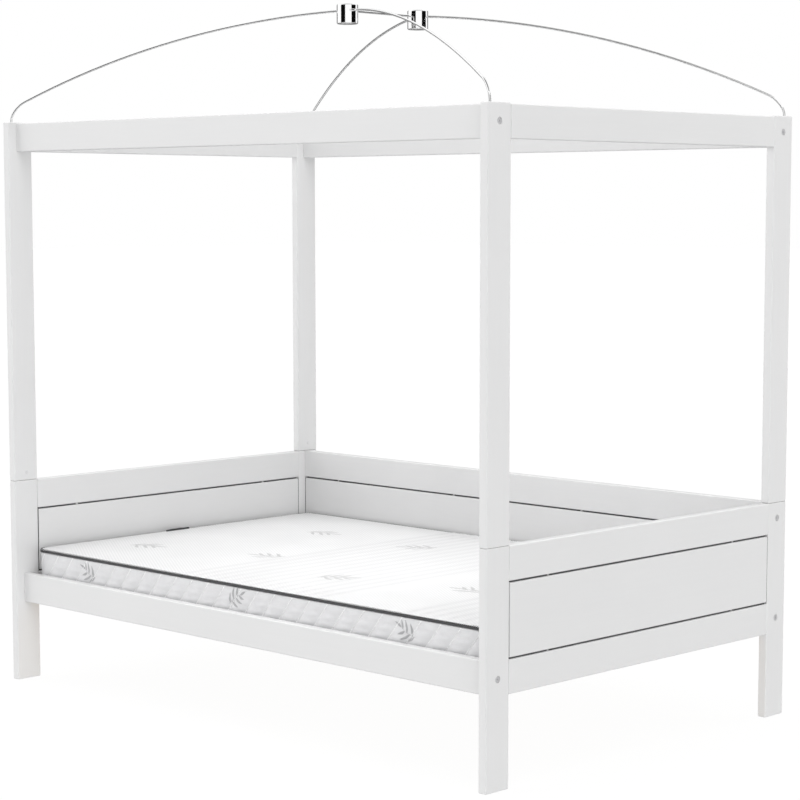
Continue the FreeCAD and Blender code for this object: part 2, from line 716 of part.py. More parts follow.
def rod_path():
    """The rod's middle line in its own upright plane: up from the socket, a bend, a shallow arc to the hub.

    The bend starts tight and goes over into a wider one. The arc meets the hub at a small slope, which fixes
    the arc's radius.
    """
    base_x, base_y = rod_base()
    run = math.hypot(base_x, base_y - read("hub_offset")) - read("rod_stop")
    bend = read("rod_bend")
    ease = read("rod_ease")
    post_top = read("leg_height") + read("post_length")
    neck = post_top + read("rod_neck")
    end_height = post_top + read("rod_rise")
    slope = math.radians(ROD_HUB_SLOPE_DEGREES)
    turn = math.radians(ROD_EASE_SLOPE_DEGREES)
    ease_x = bend + (ease - bend) * math.sin(turn)
    ease_z = neck - (ease - bend) * math.cos(turn)
    across = run - ease_x
    up = end_height - ease_z
    spare = math.cos(slope) * up - math.sin(slope) * across - ease
    arc = (across ** 2 + up ** 2 - ease ** 2) / (2 * spare)
    arc_x = run + arc * math.sin(slope)
    arc_z = end_height - arc * math.cos(slope)
    meeting = math.asin((arc_x - ease_x) / (arc - ease))

    def around(x, z, radius, angle):
        return FreeCAD.Vector(x - radius * math.sin(angle), 0, z + radius * math.cos(angle))

    def curve(x, z, radius, first, last):
        return Part.Arc(*(around(x, z, radius, angle) for angle in (first, (first + last) / 2, last)))

    upright = math.radians(QUARTER_TURN_DEGREES)
    foot = FreeCAD.Vector(0, 0, post_top - read("rod_socket"))
    pieces = [
        Part.LineSegment(foot, FreeCAD.Vector(0, 0, neck)),
        curve(bend, neck, bend, upright, turn),
        curve(ease_x, ease_z, ease, turn, meeting),
        curve(arc_x, arc_z, arc, meeting, slope),
    ]
    heading = FreeCAD.Vector(math.cos(slope), 0, math.sin(slope))
    return Part.Wire([piece.toShape() for piece in pieces]), around(arc_x, arc_z, arc, slope), heading


def hub(label, y, holes):
    """A turned drum with rounded edges, drilled for the rods and their grub screws."""
    body = doc.addObject("PartDesign::Body", f"{label}_blank")
    sketch = attached_sketch(body, f"{label}_outline")
    sketch.addGeometry(Part.Circle(FreeCAD.Vector(), Z_AXIS, FIRST_LENGTH))
    sketch.addConstraint(Sketcher.Constraint("Coincident", 0, 3, -1, 1))
    radius = sketch.addConstraint(Sketcher.Constraint("Radius", 0, FIRST_LENGTH))
    bind(sketch, f"Constraints[{radius}]", "hub_diameter / 2")
    pad = body.newObject("PartDesign::Pad", f"{label}_pad")
    pad.Profile = sketch
    bind(pad, "Length", "hub_height")
    doc.recompute()
    rounded = body.newObject("PartDesign::Fillet", f"{label}_edges")
    rounded.Base = (pad, faces_across(pad.Shape, Z_AXIS))
    bind(rounded, "Radius", "hub_edge_round")
    put(body, ("0", y, f"{POST_TOP} + rod_rise - hub_rod_rise - hub_height / 2"))
    keep(label, cut(f"{label}_drilled", body, joined(f"{label}_holes", holes)))


def grub_screw(name, x, y):
    """A grub screw made along -Z from the top of the hub, its tip just above the rod, and its hole."""
    hub_top = f"{POST_TOP} + rod_rise - hub_rod_rise + hub_height / 2"
    length = "hub_height / 2 - hub_rod_rise - grub_recess - rod_diameter / 2 - grub_rod_gap"
    plain = cylinder(f"{name}_plain", "grub_diameter / 2", length)
    socket = hexagon(f"{name}_socket", "grub_socket_radius", "grub_socket_depth + overrun",
                     ("0", "0", "0 - overrun"))
    place = (str(x), str(y), f"{hub_top} - grub_recess")
    add_to_group("hub_grub_screws", put(cut(name, plain, socket), place, "-z"))
    return cylinder(f"{name}_hole", "grub_diameter / 2 + grub_clearance",
                    "hub_height / 2 - hub_rod_rise + overrun", (str(x), str(y), f"{hub_top} + overrun"), "-z")


def rods_and_hubs():
    path, end, heading = rod_path()
    radius = read("rod_diameter") / 2
    foot = path.Edges[0].valueAt(path.Edges[0].FirstParameter)
    section = Part.Wire(Part.Circle(foot, Z_AXIS, radius).toShape())
    rod_shape = path.makePipeShell([section], True, False)
    print("rod volume over section times length", rod_shape.Volume / (math.pi * radius ** 2 * path.Length))
    hole_start = end + heading * read("rod_end_gap")
    hole_shape = Part.makeCylinder(radius + read("rod_clearance"), read("hub_diameter") / 2, hole_start,
                                   heading * -1)
    base_x, base_y = rod_base()
    hub_y = read("hub_offset")
    reach = read("grub_reach")
    for side_y, sign_y in SIDES_Y.items():
        holes = []
        for side_x, sign_x in SIDES_X.items():
            corner = f"{side_y}_{side_x}"
            base = FreeCAD.Vector(sign_x * base_x, sign_y * base_y, 0)
            towards = FreeCAD.Vector(0, sign_y * hub_y, 0) - base
            turn = FreeCAD.Rotation(Z_AXIS, math.degrees(math.atan2(towards.y, towards.x)))
            placement = FreeCAD.Placement(base, turn)
            keep(f"rod_{corner}", feature(f"rod_{corner}_solid", rod_shape, placement))
            holes.append(feature(f"rod_hole_{corner}", hole_shape, placement))
            outward = towards * (-reach / towards.Length)
            holes.append(grub_screw(f"grub_{corner}", outward.x, sign_y * hub_y + outward.y))
            drill((f"post_{corner}",),
                  cylinder(f"rod_socket_{corner}", "rod_diameter / 2 + rod_clearance", "rod_socket + overrun",
                           (f"{sign_x} * {LEG_X}", f"{sign_y} * ({OUTER_Y} - rod_edge)",
                            f"{POST_TOP} + overrun"), "-z"))
        ridge_end = f"{sign_y} * (hub_offset - rod_stop + rod_end_gap)"
        holes.append(cylinder(f"ridge_hole_{side_y}", "rod_diameter / 2 + rod_clearance", "hub_diameter / 2",
                              ("0", ridge_end, f"{POST_TOP} + rod_rise"), "+y" if sign_y < 0 else "-y"))
        holes.append(grub_screw(f"grub_ridge_{side_y}", 0, sign_y * (hub_y - reach)))
        hub(f"hub_{side_y}", f"{sign_y} * hub_offset", holes)
    keep("ridge_rod", cylinder("ridge_rod_solid", "rod_diameter / 2", "2 * (hub_offset - rod_stop)",
                               ("0", "0 - (hub_offset - rod_stop)", f"{POST_TOP} + rod_rise"), "+y"))


def check_document():
    for item in doc.Objects:
        if {"Invalid", "Error"} & set(item.State):
            raise RuntimeError(f"{item.Name} failed: {item.State}")
    for label, item in nodes.items():
        if item.Shape.isNull() or not item.Shape.isValid() or not item.Shape.Solids:
            raise RuntimeError(f"{label} has no valid solid")


def write_parts():
    os.makedirs("parts", exist_ok=True)
    for label, item in sorted(nodes.items()):
        item.Shape.exportStep(f"parts/{label}.step")
    print(len(nodes), "nodes written")


fill_sheet()
legs_and_posts()
end_boards()
long_boards()
slatted_base()
end_rail_joints()
long_rail_joints()
groove_joints()
post_joints()
rods_and_hubs()
finish_boards()
finish_groups()
mattress()
doc.recompute()
check_document()
write_parts()
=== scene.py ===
"""Looks of the canopy bed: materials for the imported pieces, a detailed mattress, studio light and camera."""
import json
import math

import bpy
import numpy as np
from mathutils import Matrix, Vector


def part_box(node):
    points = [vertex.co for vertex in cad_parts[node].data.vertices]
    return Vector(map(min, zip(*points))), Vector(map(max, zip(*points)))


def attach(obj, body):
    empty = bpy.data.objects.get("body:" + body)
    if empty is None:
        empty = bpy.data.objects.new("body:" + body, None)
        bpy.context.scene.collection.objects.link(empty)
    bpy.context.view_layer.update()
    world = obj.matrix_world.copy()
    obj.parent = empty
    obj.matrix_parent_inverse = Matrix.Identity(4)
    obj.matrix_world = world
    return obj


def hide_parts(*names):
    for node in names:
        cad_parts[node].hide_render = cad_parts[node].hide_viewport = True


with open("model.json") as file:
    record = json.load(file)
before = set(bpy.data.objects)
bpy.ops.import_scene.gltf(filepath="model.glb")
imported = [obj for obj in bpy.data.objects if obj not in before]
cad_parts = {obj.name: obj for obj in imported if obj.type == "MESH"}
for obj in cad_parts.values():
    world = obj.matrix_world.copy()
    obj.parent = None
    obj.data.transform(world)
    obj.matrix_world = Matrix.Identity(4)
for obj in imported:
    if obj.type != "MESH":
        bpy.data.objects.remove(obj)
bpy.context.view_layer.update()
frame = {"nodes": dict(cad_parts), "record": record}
nodes = frame["nodes"]
scene = bpy.context.scene


# Node helpers

class Nodes:
    """A small wrapper that makes and links the nodes of a material or a world."""

    def __init__(self, owner):
        owner.use_nodes = True
        self.owner = owner
        self.tree = owner.node_tree
        self.tree.nodes.clear()

    def add(self, kind, **settings):
        node = self.tree.nodes.new(kind)
        for key, setting in settings.items():
            setattr(node, key, setting)
        return node

    def link(self, start, end):
        self.tree.links.new(start, end)

    def put(self, socket, value):
        if isinstance(value, bpy.types.NodeSocket):
            self.link(value, socket)
        else:
            socket.default_value = value

    def fill(self, node, **sockets):
        """Sets or links a node's inputs by name, with an underscore for each space."""
        for name, value in sockets.items():
            self.put(node.inputs[name.replace("_", " ")], value)

    def place(self, stretch=(1, 1, 1), turn=(0, 0, 0)):
        """Object coordinates, in metres, turned and then scaled."""
        mapping = self.add("ShaderNodeMapping")
        source = self.add("ShaderNodeTexCoord")
        self.fill(mapping, Vector=source.outputs["Object"], Rotation=turn, Scale=stretch)
        return mapping.outputs[0]

    def noise(self, scale, detail, rough=0.5, stretch=(1, 1, 1)):
        node = self.add("ShaderNodeTexNoise")
        self.fill(node, Vector=self.place(stretch), Scale=scale, Detail=detail, Roughness=rough)
        return node.outputs["Fac"]

    def wave(self, vector, pitch, direction, distortion=0.0, detail=0.0, detail_scale=1.0):
        """Bands that repeat every pitch of the vector's own length."""
        node = self.add("ShaderNodeTexWave", wave_type="BANDS", bands_direction=direction, wave_profile="SIN")
        # at scale 1 a band repeats every pi / 10
        self.fill(node, Vector=vector, Scale=math.pi / (10.0 * pitch), Distortion=distortion, Detail=detail,
                  Detail_Scale=detail_scale)
        return node.outputs["Fac"]

    def cells(self, scale, stretch=(1, 1, 1)):
        node = self.add("ShaderNodeTexVoronoi")
        self.fill(node, Vector=self.place(stretch), Scale=scale)
        return node.outputs["Distance"]

    def span(self, fac, low, high, start=0.0, end=1.0):
        """Brings what runs from start to end to run from low to high."""
        node = self.add("ShaderNodeMapRange")
        self.fill(node, Value=fac, From_Min=start, From_Max=end, To_Min=low, To_Max=high)
        return node.outputs[0]

    def math(self, operation, first, second=0.0):
        node = self.add("ShaderNodeMath", operation=operation)
        self.put(node.inputs[0], first)
        self.put(node.inputs[1], second)
        return node.outputs[0]

    def weighted(self, first, first_share, *others):
        """A sum of patterns, each followed by its share."""
        total = self.math("MULTIPLY", first, first_share)
        for pattern, share in zip(others[0::2], others[1::2]):
            total = self.math("ADD", total, self.math("MULTIPLY", pattern, share))
        return total

    def blend(self, fac, first, second):
        node = self.add("ShaderNodeMix", data_type="RGBA")
        self.put(node.inputs[0], fac)
        for socket, colour in ((node.inputs[6], first), (node.inputs[7], second)):
            self.put(socket, (*colour, 1.0) if isinstance(colour, tuple) else colour)
        return node.outputs[2]

    def attribute(self, name):
        return self.add("ShaderNodeAttribute", attribute_name=name).outputs["Fac"]

    def bump(self, height, distance, strength, normal=None):
        node = self.add("ShaderNodeBump")
        self.fill(node, Height=height, Distance=distance, Strength=strength)
        if normal is not None:
            self.link(normal, node.inputs["Normal"])
        return node.outputs["Normal"]


class Finish(Nodes):
    """A material with one principled shader."""

    def __init__(self, name):
        super().__init__(bpy.data.materials.new(name))
        self.out = self.add("ShaderNodeOutputMaterial")
        self.shader = self.add("ShaderNodeBsdfPrincipled")
        self.link(self.shader.outputs[0], self.out.inputs["Surface"])

    def done(self, **sockets):
        self.fill(self.shader, **sockets)
        return self.owner


# Materials

# slope of the knit's ribs on the mattress top, in degrees from +X, and the pitch of ribs and loops
RIB_SLOPE = -33.0
RIB_PITCH = 0.0092
LOOP_PITCH = 0.0046
WARP_PITCH = 0.0021
WEFT_PITCH = 0.0015
BORDER_PITCH = 0.0026
TAPE_PITCH = 0.0022
STRAND_PITCH = 0.0017


def along_board(axis, across, along):
    """Scales that draw a pattern out along one axis."""
    return tuple(along if name == axis else across for name in "xyz")


def paint(axis):
    """White satin lacquer on planed wood: a trace of grain along the board and a fine orange peel."""
    tree = Finish(f"white_paint_{axis}")
    grain = tree.noise(4.0, 4.0, 0.6, along_board(axis, 26.0, 1.2))
    peel = tree.noise(420.0, 2.0, 0.45)
    cloud = tree.noise(3.0, 2.0)
    tone = tree.math("ADD", tree.span(cloud, 0.0, 0.6, 0.3, 0.7), tree.span(grain, 0.0, 0.4, 0.3, 0.7))
    colour = tree.blend(tone, (0.691, 0.692, 0.694), (0.712, 0.712, 0.713))
    rough = tree.math("ADD", tree.span(peel, 0.30, 0.36), tree.span(cloud, 0.0, 0.04))
    normal = tree.bump(grain, 0.00010, 0.35)
    normal = tree.bump(peel, 0.00004, 0.5, normal)
    return tree.done(Base_Color=colour, Roughness=rough, Normal=normal, Coat_Weight=0.12, Coat_Roughness=0.18)


def bare_wood(name, light, dark, axis, ring):
    """Planed wood: growth bands drawn out along the board, fine pores and a dry surface."""
    tree = Finish(name)
    stretch = along_board(axis, 34.0, 1.6)
    bands = tree.wave(tree.place(stretch), ring, "DIAGONAL", 3.2, 3.0, 1.4)
    pores = tree.noise(16.0, 5.0, 0.65, stretch)
    mixed = tree.weighted(bands, 0.62, pores, 0.38)
    colour = tree.blend(tree.span(mixed, 0.0, 1.0, 0.25, 0.8), light, dark)
    rough = tree.span(pores, 0.55, 0.72)
    return tree.done(Base_Color=colour, Roughness=rough, Normal=tree.bump(mixed, 0.0003, 0.4))


def zinc():
    """Dull plated steel with fine turning marks and a patchy bloom."""
    tree = Finish("zinc")
    bloom = tree.noise(160.0, 3.0, 0.6)
    scratch = tree.noise(2.0, 2.0, 0.6, (900, 900, 120))
    colour = tree.blend(bloom, (0.52, 0.52, 0.53), (0.64, 0.64, 0.65))
    return tree.done(Base_Color=colour, Metallic=0.35, Roughness=tree.span(bloom, 0.52, 0.66),
                     Normal=tree.bump(scratch, 0.00005, 0.5))


def coated_zinc():
    """Cast zinc under a thin white coat, a little greyer than the lacquer round it."""
    tree = Finish("coated_zinc")
    bloom = tree.noise(220.0, 3.0, 0.6)
    colour = tree.blend(bloom, (0.66, 0.66, 0.665), (0.74, 0.74, 0.745))
    return tree.done(Base_Color=colour, Roughness=tree.span(bloom, 0.4, 0.52),
                     Normal=tree.bump(bloom, 0.00008, 0.5))


def chrome():
    """Polished chrome with faint wipe marks in its gloss."""
    tree = Finish("chrome")
    wipe = tree.noise(3.0, 3.0, 0.6, (6, 6, 40))
    spots = tree.noise(120.0, 1.0)
    colour = tree.blend(wipe, (0.955, 0.955, 0.96), (0.985, 0.985, 0.987))
    return tree.done(Base_Color=colour, Metallic=1.0, Roughness=tree.span(wipe, 0.05, 0.09),
                     Normal=tree.bump(spots, 0.000004, 0.2))


def webbing():
    """Woven cotton tape: a twill of warp ribs crossed by fine weft."""
    tree = Finish("webbing")
    warp = tree.wave(tree.place((0, 1, 0)), WARP_PITCH, "Y")
    weft = tree.wave(tree.place((1, 0, 0)), WEFT_PITCH, "X")
    weave = tree.math("MULTIPLY", warp, weft)
    tone = tree.weighted(weave, 0.7, tree.noise(700.0, 2.0), 0.3)
    colour = tree.blend(tone, (0.52, 0.50, 0.45), (0.72, 0.70, 0.65))
    return tree.done(Base_Color=colour, Roughness=0.88, Sheen_Weight=0.25,
                     Normal=tree.bump(weave, 0.0004, 0.7))


def foam():
    """Open-cell foam."""
    tree = Finish("foam")
    pores = tree.cells(520.0)
    tone = tree.noise(14.0, 3.0)
    colour = tree.blend(tone, (0.80, 0.75, 0.60), (0.86, 0.82, 0.70))
    return tree.done(Base_Color=colour, Roughness=0.95, Normal=tree.bump(pores, 0.0008, 0.8))


def knit():
    """White twill knit of the mattress top: slanted ribs, each a row of short loops, and painted shade that
    darkens the ripple valleys near the sewn lines.
    """
    tree = Finish("cover_knit")
    slope = (0.0, 0.0, math.radians(-RIB_SLOPE))
    ribs = tree.wave(tree.place(turn=slope), RIB_PITCH, "Y", 0.35, 1.0, 1.0)
    loops = tree.wave(tree.place(turn=slope), LOOP_PITCH, "DIAGONAL")
    fuzz = tree.noise(900.0, 2.0)
    cloud = tree.noise(5.0, 2.0)
    height = tree.weighted(ribs, 0.72, loops, 0.28)
    tone = tree.math("ADD", tree.span(height, 0.15, 0.75, 0.1, 0.75), tree.span(cloud, 0.0, 0.25, 0.3, 0.7))
    # painted shade: darker cloth in the ripple valleys, by how near each point is to a sewn line
    valley_painted_shade = tree.span(tree.attribute("sewn"), 1.0, 0.25)
    colour = tree.blend(tree.math("MULTIPLY", tone, valley_painted_shade), (0.572, 0.572, 0.577), (0.703, 0.703, 0.705))
    normal = tree.bump(height, 0.0005, 0.5)
    normal = tree.bump(fuzz, 0.0001, 0.3, normal)
    return tree.done(Base_Color=colour, Roughness=0.86, Sheen_Weight=0.15, Specular_IOR_Level=0.25,
                     Normal=normal)


def border_cloth():
    """Pale lilac-grey border cloth: fine level weave, clouded tone, and a painted highlight along its sewn lines
    where the folds catch the light.
    """
    tree = Finish("cover_border")
    weave = tree.wave(tree.place(), BORDER_PITCH, "Z", 0.6, 2.0, 60.0)
    slub = tree.noise(1.0, 3.0, 0.6, (60, 60, 520))
    cloud = tree.noise(38.0, 3.0, 0.6)
    tone = tree.weighted(weave, 0.3, slub, 0.35, cloud, 0.35)
    cloth = tree.blend(tree.span(tone, 0.0, 1.0, 0.25, 0.75), (0.608, 0.608, 0.620), (0.760, 0.760, 0.768))
    # painted highlight: the cloth turns near white along the sewn lines
    colour = tree.blend(tree.attribute("sewn"), cloth, (0.93, 0.93, 0.933))
    return tree.done(Base_Color=colour, Roughness=0.84, Sheen_Weight=0.2, Specular_IOR_Level=0.25,
                     Normal=tree.bump(tone, 0.0004, 0.5))


def base_cloth():
    """Plain spun cloth under the mattress with a dotted grip."""
    tree = Finish("cover_base")
    dots = tree.cells(150.0, (1, 1, 0))
    fuzz = tree.noise(420.0, 3.0, 0.6)
    tone = tree.math("ADD", tree.span(dots, 0.0, 0.6, 0.1, 0.5), tree.math("MULTIPLY", fuzz, 0.4))
    colour = tree.blend(tone, (0.66, 0.66, 0.68), (0.80, 0.80, 0.81))
    return tree.done(Base_Color=colour, Roughness=0.9, Normal=tree.bump(tone, 0.0003, 0.5))


def dark_tape(name, turn):
    """Charcoal bias tape: a close slanted weave with a dry sheen."""
    tree = Finish(name)
    weave = tree.wave(tree.place(turn=turn), TAPE_PITCH, "DIAGONAL", 0.3, 1.0, 40.0)
    tone = tree.weighted(weave, 0.65, tree.noise(800.0, 2.0), 0.35)
    colour = tree.blend(tone, (0.030, 0.030, 0.032), (0.066, 0.066, 0.069))
    return tree.done(Base_Color=colour, Roughness=0.8, Sheen_Weight=0.12, Normal=tree.bump(tone, 0.0003, 0.6))


def shade_strip_finish():
    """Dark grey for the strips that paint the shade in grooves and seams, with a texture of matted fibres."""
    tree = Finish("groove_felt")
    fibres = tree.noise(1400.0, 4.0, 0.7)
    clumps = tree.noise(160.0, 3.0, 0.6)
    tone = tree.weighted(fibres, 0.6, clumps, 0.4)
    colour = tree.blend(tree.span(tone, 0.0, 1.0, 0.3, 0.7), (0.060, 0.060, 0.062), (0.125, 0.125, 0.128))
    return tree.done(Base_Color=colour, Roughness=0.95, Normal=tree.bump(tone, 0.0005, 0.7))


def thread(name, dark, light):
    """Embroidery thread: satin stitches side by side."""
    tree = Finish(name)
    strands = tree.wave(tree.place(turn=(0.0, 0.3, 0.6)), STRAND_PITCH, "DIAGONAL", 0.8, 1.0, 30.0)
    colour = tree.blend(tree.weighted(strands, 0.6, tree.noise(600.0, 2.0), 0.4), dark, light)
    return tree.done(Base_Color=colour, Roughness=0.62, Sheen_Weight=0.2,
                     Normal=tree.bump(strands, 0.0003, 0.5))


PAINTS = {axis: paint(axis) for axis in "xyz"}
PINE = {axis: bare_wood(f"pine_{axis}", (0.80, 0.62, 0.40), (0.60, 0.41, 0.22), axis, 1.05) for axis in "xy"}
BEECH = bare_wood("beech", (0.74, 0.58, 0.41), (0.60, 0.43, 0.28), "z", 0.67)
COATED_ZINC = coated_zinc()
KNIT = knit()
BORDER_CLOTH = border_cloth()
BASE_CLOTH = base_cloth()
PIPING_TAPE = dark_tape("piping_tape", (0.5, 0.4, 0.2))
TAB_TAPE = dark_tape("tab_tape", (0.0, 0.8, 0.1))
# dark finish that paints the shade in the grooves and seams
GROOVE_SHADE_FINISH = shade_strip_finish()
WHITE_THREAD = thread("white_thread", (0.86, 0.86, 0.865), (0.94, 0.94, 0.943))
PALE_PRINT = thread("pale_embroidery", (0.34, 0.34, 0.345), (0.52, 0.52, 0.525))
GREY_PRINT = thread("grey_embroidery", (0.28, 0.28, 0.29), (0.48, 0.48, 0.49))


def clothe(node, material):
    slots = nodes[node].data.materials
    slots.clear()
    slots.append(material)


def grain_axis(node):
    low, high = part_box(node)
    extents = list(high - low)
    return "xyz"[extents.index(max(extents))]


SLOT_OF = {entry["node"]: entry["material_slot"] for entry in frame["record"]["subparts"]}
PLAIN = {"zinc": zinc(), "chrome": chrome(), "webbing": webbing(), "foam": foam(), "beech": BEECH}
for node, slot_name in SLOT_OF.items():
    if slot_name == "white_paint":
        clothe(node, PAINTS[grain_axis(node)])
    elif slot_name == "pine":
        clothe(node, PINE[grain_axis(node)])
    elif slot_name in PLAIN:
        clothe(node, PLAIN[slot_name])
clothe("cam_locks", COATED_ZINC)


# Mesh helpers

def grid_faces(rows, columns, closed=False):
    """Quads of a grid of points, which face down where rows follow +X and columns +Y. A closed row is a ring."""
    steps = columns if closed else columns - 1
    row, column = np.meshgrid(np.arange(rows - 1), np.arange(steps), indexing="ij")
    first = row * columns + column
    second = row * columns + (column + 1) % columns
    return np.stack([first, second, second + columns, first + columns], axis=-1).reshape(-1, 4)


def ring_faces(rows, columns):
    """Quads of a tube that closes on itself: rows that are rings, of which the last meets the first."""
    return grid_faces(rows + 1, columns, closed=True) % (rows * columns)


def flipped(faces):
    return faces[:, ::-1]


# Dark strips that paint the shade in the grooves round the infill panels and in the seams between legs and
# posts. Lengths in metres.

STRIP_RECESS = 0.006
STRIP_CLEARANCE = 0.0002
STRIP_BULGE = 0.0008
STRIP_STATIONS = 14
DOWEL_CLEARANCE = 0.0042
# how far round a groove its dowels are looked for, and the least distance between two of them
DOWEL_REACH = 0.03
END_RECESS = 0.0016
# legs that the panel meets without a visible gap
TIGHT_ENDS = ("leg_front_right",)
# rounding of the boards' long edges
BOARD_ROUND = 0.0035
# edge of a seam's dark shade ring, as depth in from the board's face and height from the seam
SEAM_SHADE_SECTION = ((0.0017, 0.0003), (0.0024, 0.00005), (0.0024, -0.00005), (0.0017, -0.0003))
SEAM_SHADE_CORNER_POINTS = 5


# a piece in the dark finish that paints shade, fixed to the frame
def shade_strip_piece(name, points, faces):
    mesh = bpy.data.meshes.new(name)
    mesh.from_pydata(points, [], faces)
    mesh.materials.append(GROOVE_SHADE_FINISH)
    item = bpy.data.objects.new(name, mesh)
    scene.collection.objects.link(item)
    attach(item, "frame")


def dowel_spans(low, high, axis):
    """Where the dowels cross one groove, as pairs of places along the axis."""
    points = np.array([vertex.co for vertex in nodes["groove_dowels"].data.vertices])
    near = np.all((points > np.array(low) - DOWEL_REACH) & (points < np.array(high) + DOWEL_REACH), axis=1)
    places = np.sort(points[near, axis])
    dowels = np.split(places, np.flatnonzero(np.diff(places) > DOWEL_REACH) + 1)
    return [(dowel[0], dowel[-1]) for dowel in dowels]


def strip_section(near, far, bottom, top):
    """A strip's outline as points across and up, bulged a little at both faces."""
    middle = (bottom + top) / 2.0
    bulges = ((bottom, 0.0), ((bottom + middle) / 2.0, STRIP_BULGE / 2.0), (middle, STRIP_BULGE),
              ((top + middle) / 2.0, STRIP_BULGE / 2.0), (top, 0.0))
    return [(near - bulge, up) for up, bulge in bulges] + [(far + bulge, up) for up, bulge in bulges[::-1]]


def sweep(points, faces, section, places, axis):
    """Adds a closed bar that has its section at each of the places along an axis."""
    first, count = len(points), len(section)
    for place in places:
        points.extend((out, place, up) if axis == 1 else (place, out, up) for out, up in section)
    bar = (first + grid_faces(len(places), count, closed=True)).tolist()
    bar.append(list(range(first + count - 1, first - 1, -1)))
    bar.append(list(range(len(points) - count, len(points))))
    faces.extend(bar if axis == 1 else [face[::-1] for face in bar])


def groove_shade_strips():
    """Dark strips that paint the shade in each groove between its dowels and in the gaps at the panels' ends,
    set back from both faces.
    """
    points, faces = [], []
    for side, axis in (("left", 1), ("right", 1), ("back", 0)):
        panel_low, panel_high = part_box(f"{side}_panel")
        rail_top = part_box(f"{side}_bottom_rail")[1].z
        cap_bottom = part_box(f"{side}_cap_rail")[0].z
        face_low, face_high = panel_low[1 - axis], panel_high[1 - axis]
        for bottom, top in ((rail_top, panel_low.z), (panel_high.z, cap_bottom)):
            low = Vector((panel_low.x, panel_low.y, bottom))
            high = Vector((panel_high.x, panel_high.y, top))
            section = strip_section(face_low + STRIP_RECESS, face_high - STRIP_RECESS,
                                    low.z + STRIP_CLEARANCE, high.z - STRIP_CLEARANCE)
            edges = [low[axis], *np.ravel(dowel_spans(low, high, axis)), high[axis]]
            for start, end in zip(edges[0::2], edges[1::2]):
                places = np.linspace(start + DOWEL_CLEARANCE, end - DOWEL_CLEARANCE, STRIP_STATIONS)
                sweep(points, faces, section, places, axis)
        near, far = face_low + END_RECESS, face_high - END_RECESS
        section = [(near, panel_low.z), (near, panel_high.z), (far, panel_high.z), (far, panel_low.z)]
        low_leg, high_leg = ((f"leg_front_{side}", f"leg_back_{side}") if axis == 1
                             else (f"leg_{side}_left", f"leg_{side}_right"))
        gaps = {low_leg: (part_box(low_leg)[1][axis], panel_low[axis]),
                high_leg: (panel_high[axis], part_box(high_leg)[0][axis])}
        for leg, (start, end) in gaps.items():
            if leg not in TIGHT_ENDS:
                sweep(points, faces, section, (start + STRIP_CLEARANCE, end - STRIP_CLEARANCE), axis)
    shade_strip_piece("groove_shade_strips", points, faces)


def seam_shade_rings():
    """Thin dark rings between legs and posts that paint the shade in the seam. Only their edge shows, at the
    bottom of the rounded seam.
    """
    points, faces = [], []
    rows = 4 * SEAM_SHADE_CORNER_POINTS
    for leg in ("leg_front_left", "leg_front_right", "leg_back_left", "leg_back_right"):
        low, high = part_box(leg)
        middle = (low + high) / 2.0
        half = (high - low) / 2.0
        first = len(points)
        for row in range(rows):
            quarter, step = divmod(row, SEAM_SHADE_CORNER_POINTS)
            angle = math.radians(90.0 * (quarter + step / (SEAM_SHADE_CORNER_POINTS - 1)))
            sign_x = 1.0 if quarter in (0, 3) else -1.0
            sign_y = 1.0 if quarter in (0, 1) else -1.0
            for depth, rise in SEAM_SHADE_SECTION:
                radius = BOARD_ROUND - depth
                x = middle.x + sign_x * (half.x - BOARD_ROUND) + radius * math.cos(angle)
                y = middle.y + sign_y * (half.y - BOARD_ROUND) + radius * math.sin(angle)
                points.append((x, y, high.z + rise))
        faces += (first + flipped(ring_faces(rows, len(SEAM_SHADE_SECTION)))).tolist()
    shade_strip_piece("seam_shade_rings", points, faces)


groove_shade_strips()
seam_shade_rings()


# Mattress. Lengths in metres; heights are above the mattress's base.

low_corner, high_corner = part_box("mattress_cover")
BASE = low_corner.z
HALF = np.array([high_corner.x, high_corner.y])
CORNER = 0.040
LOW_SEAM = 0.008
HIGH_SEAM = 0.1165
CORD_RADIUS = 0.0033
CORD_INSET = 0.0022
CORD_STATIONS = 1260
CORD_SIDES = 12
GROOVE_HALF = 0.0045
GROOVE_INSET = 0.006
# how far border and panels go on into the groove
BORDER_TUCK = 0.0007
PANEL_TUCK = 0.0012
TOP_INSET = 0.0015
TOP_EDGE = 0.1210
TOP_STEP = 0.0099
FOOT_INSET = 0.005
FOOT_STEP = 0.04
# places of a panel's closer grid steps, in from its edge, and where its even steps begin
CLOSE_STEPS = (0.0, 0.0022, 0.0055, 0.011)
EVEN_START = 0.0165
# crown of the top as distance in from its edge and rise above it
CROWN_IN = (0.0, 0.002, 0.006, 0.014, 0.026, 0.060, 0.144, 0.269, 0.600)
CROWN_UP = (0.0, 0.0003, 0.0006, 0.0012, 0.0019, 0.0030, 0.0041, 0.0045, 0.0045)
HELD_RIM = 0.004
# how far in from the rim the ripples and the painted shade of their sewn valleys reach their full size
VALLEY_REACH = 0.03
RIPPLE_PITCH = 0.049
RIPPLE_STEPS = 5
RIPPLE_ZONES = ((-0.260, 0.328), (0.671, 0.916))
RIPPLE_RISE = 0.0029
FIELD_RISE = 0.0016
PANEL_COUNT = 86
PANEL_LEAN = math.radians(50.0)
PANEL_STEPS = (0.0, 0.035, 0.11, 0.22, 0.36, 0.5, 0.64, 0.78, 0.89, 0.965)
BORDER_ROWS = 16
# share by which the border's rows stand closer at its edges
ROW_BUNCH_SHARE = 0.35
EDGE_INSET = 0.0006
SEWN_INSET = 0.0042
PUFF = 0.0046
CLOTH_FRAMES = 16
CLOTH_QUALITY = 5
CLOTH_PRESSURE = 4.0
# share of a rise, in percent, that is brought under its height, and the most that the rest may have
FULL_PERCENT = 97.0
RISE_LIMIT = 1.25
TINY = 1e-9
NEAR = 1e-6

STRAIGHT = 2.0 * (HALF - CORNER)
ARC = CORNER * math.pi / 2.0
ROUND = float(2.0 * STRAIGHT.sum() + 4.0 * ARC)


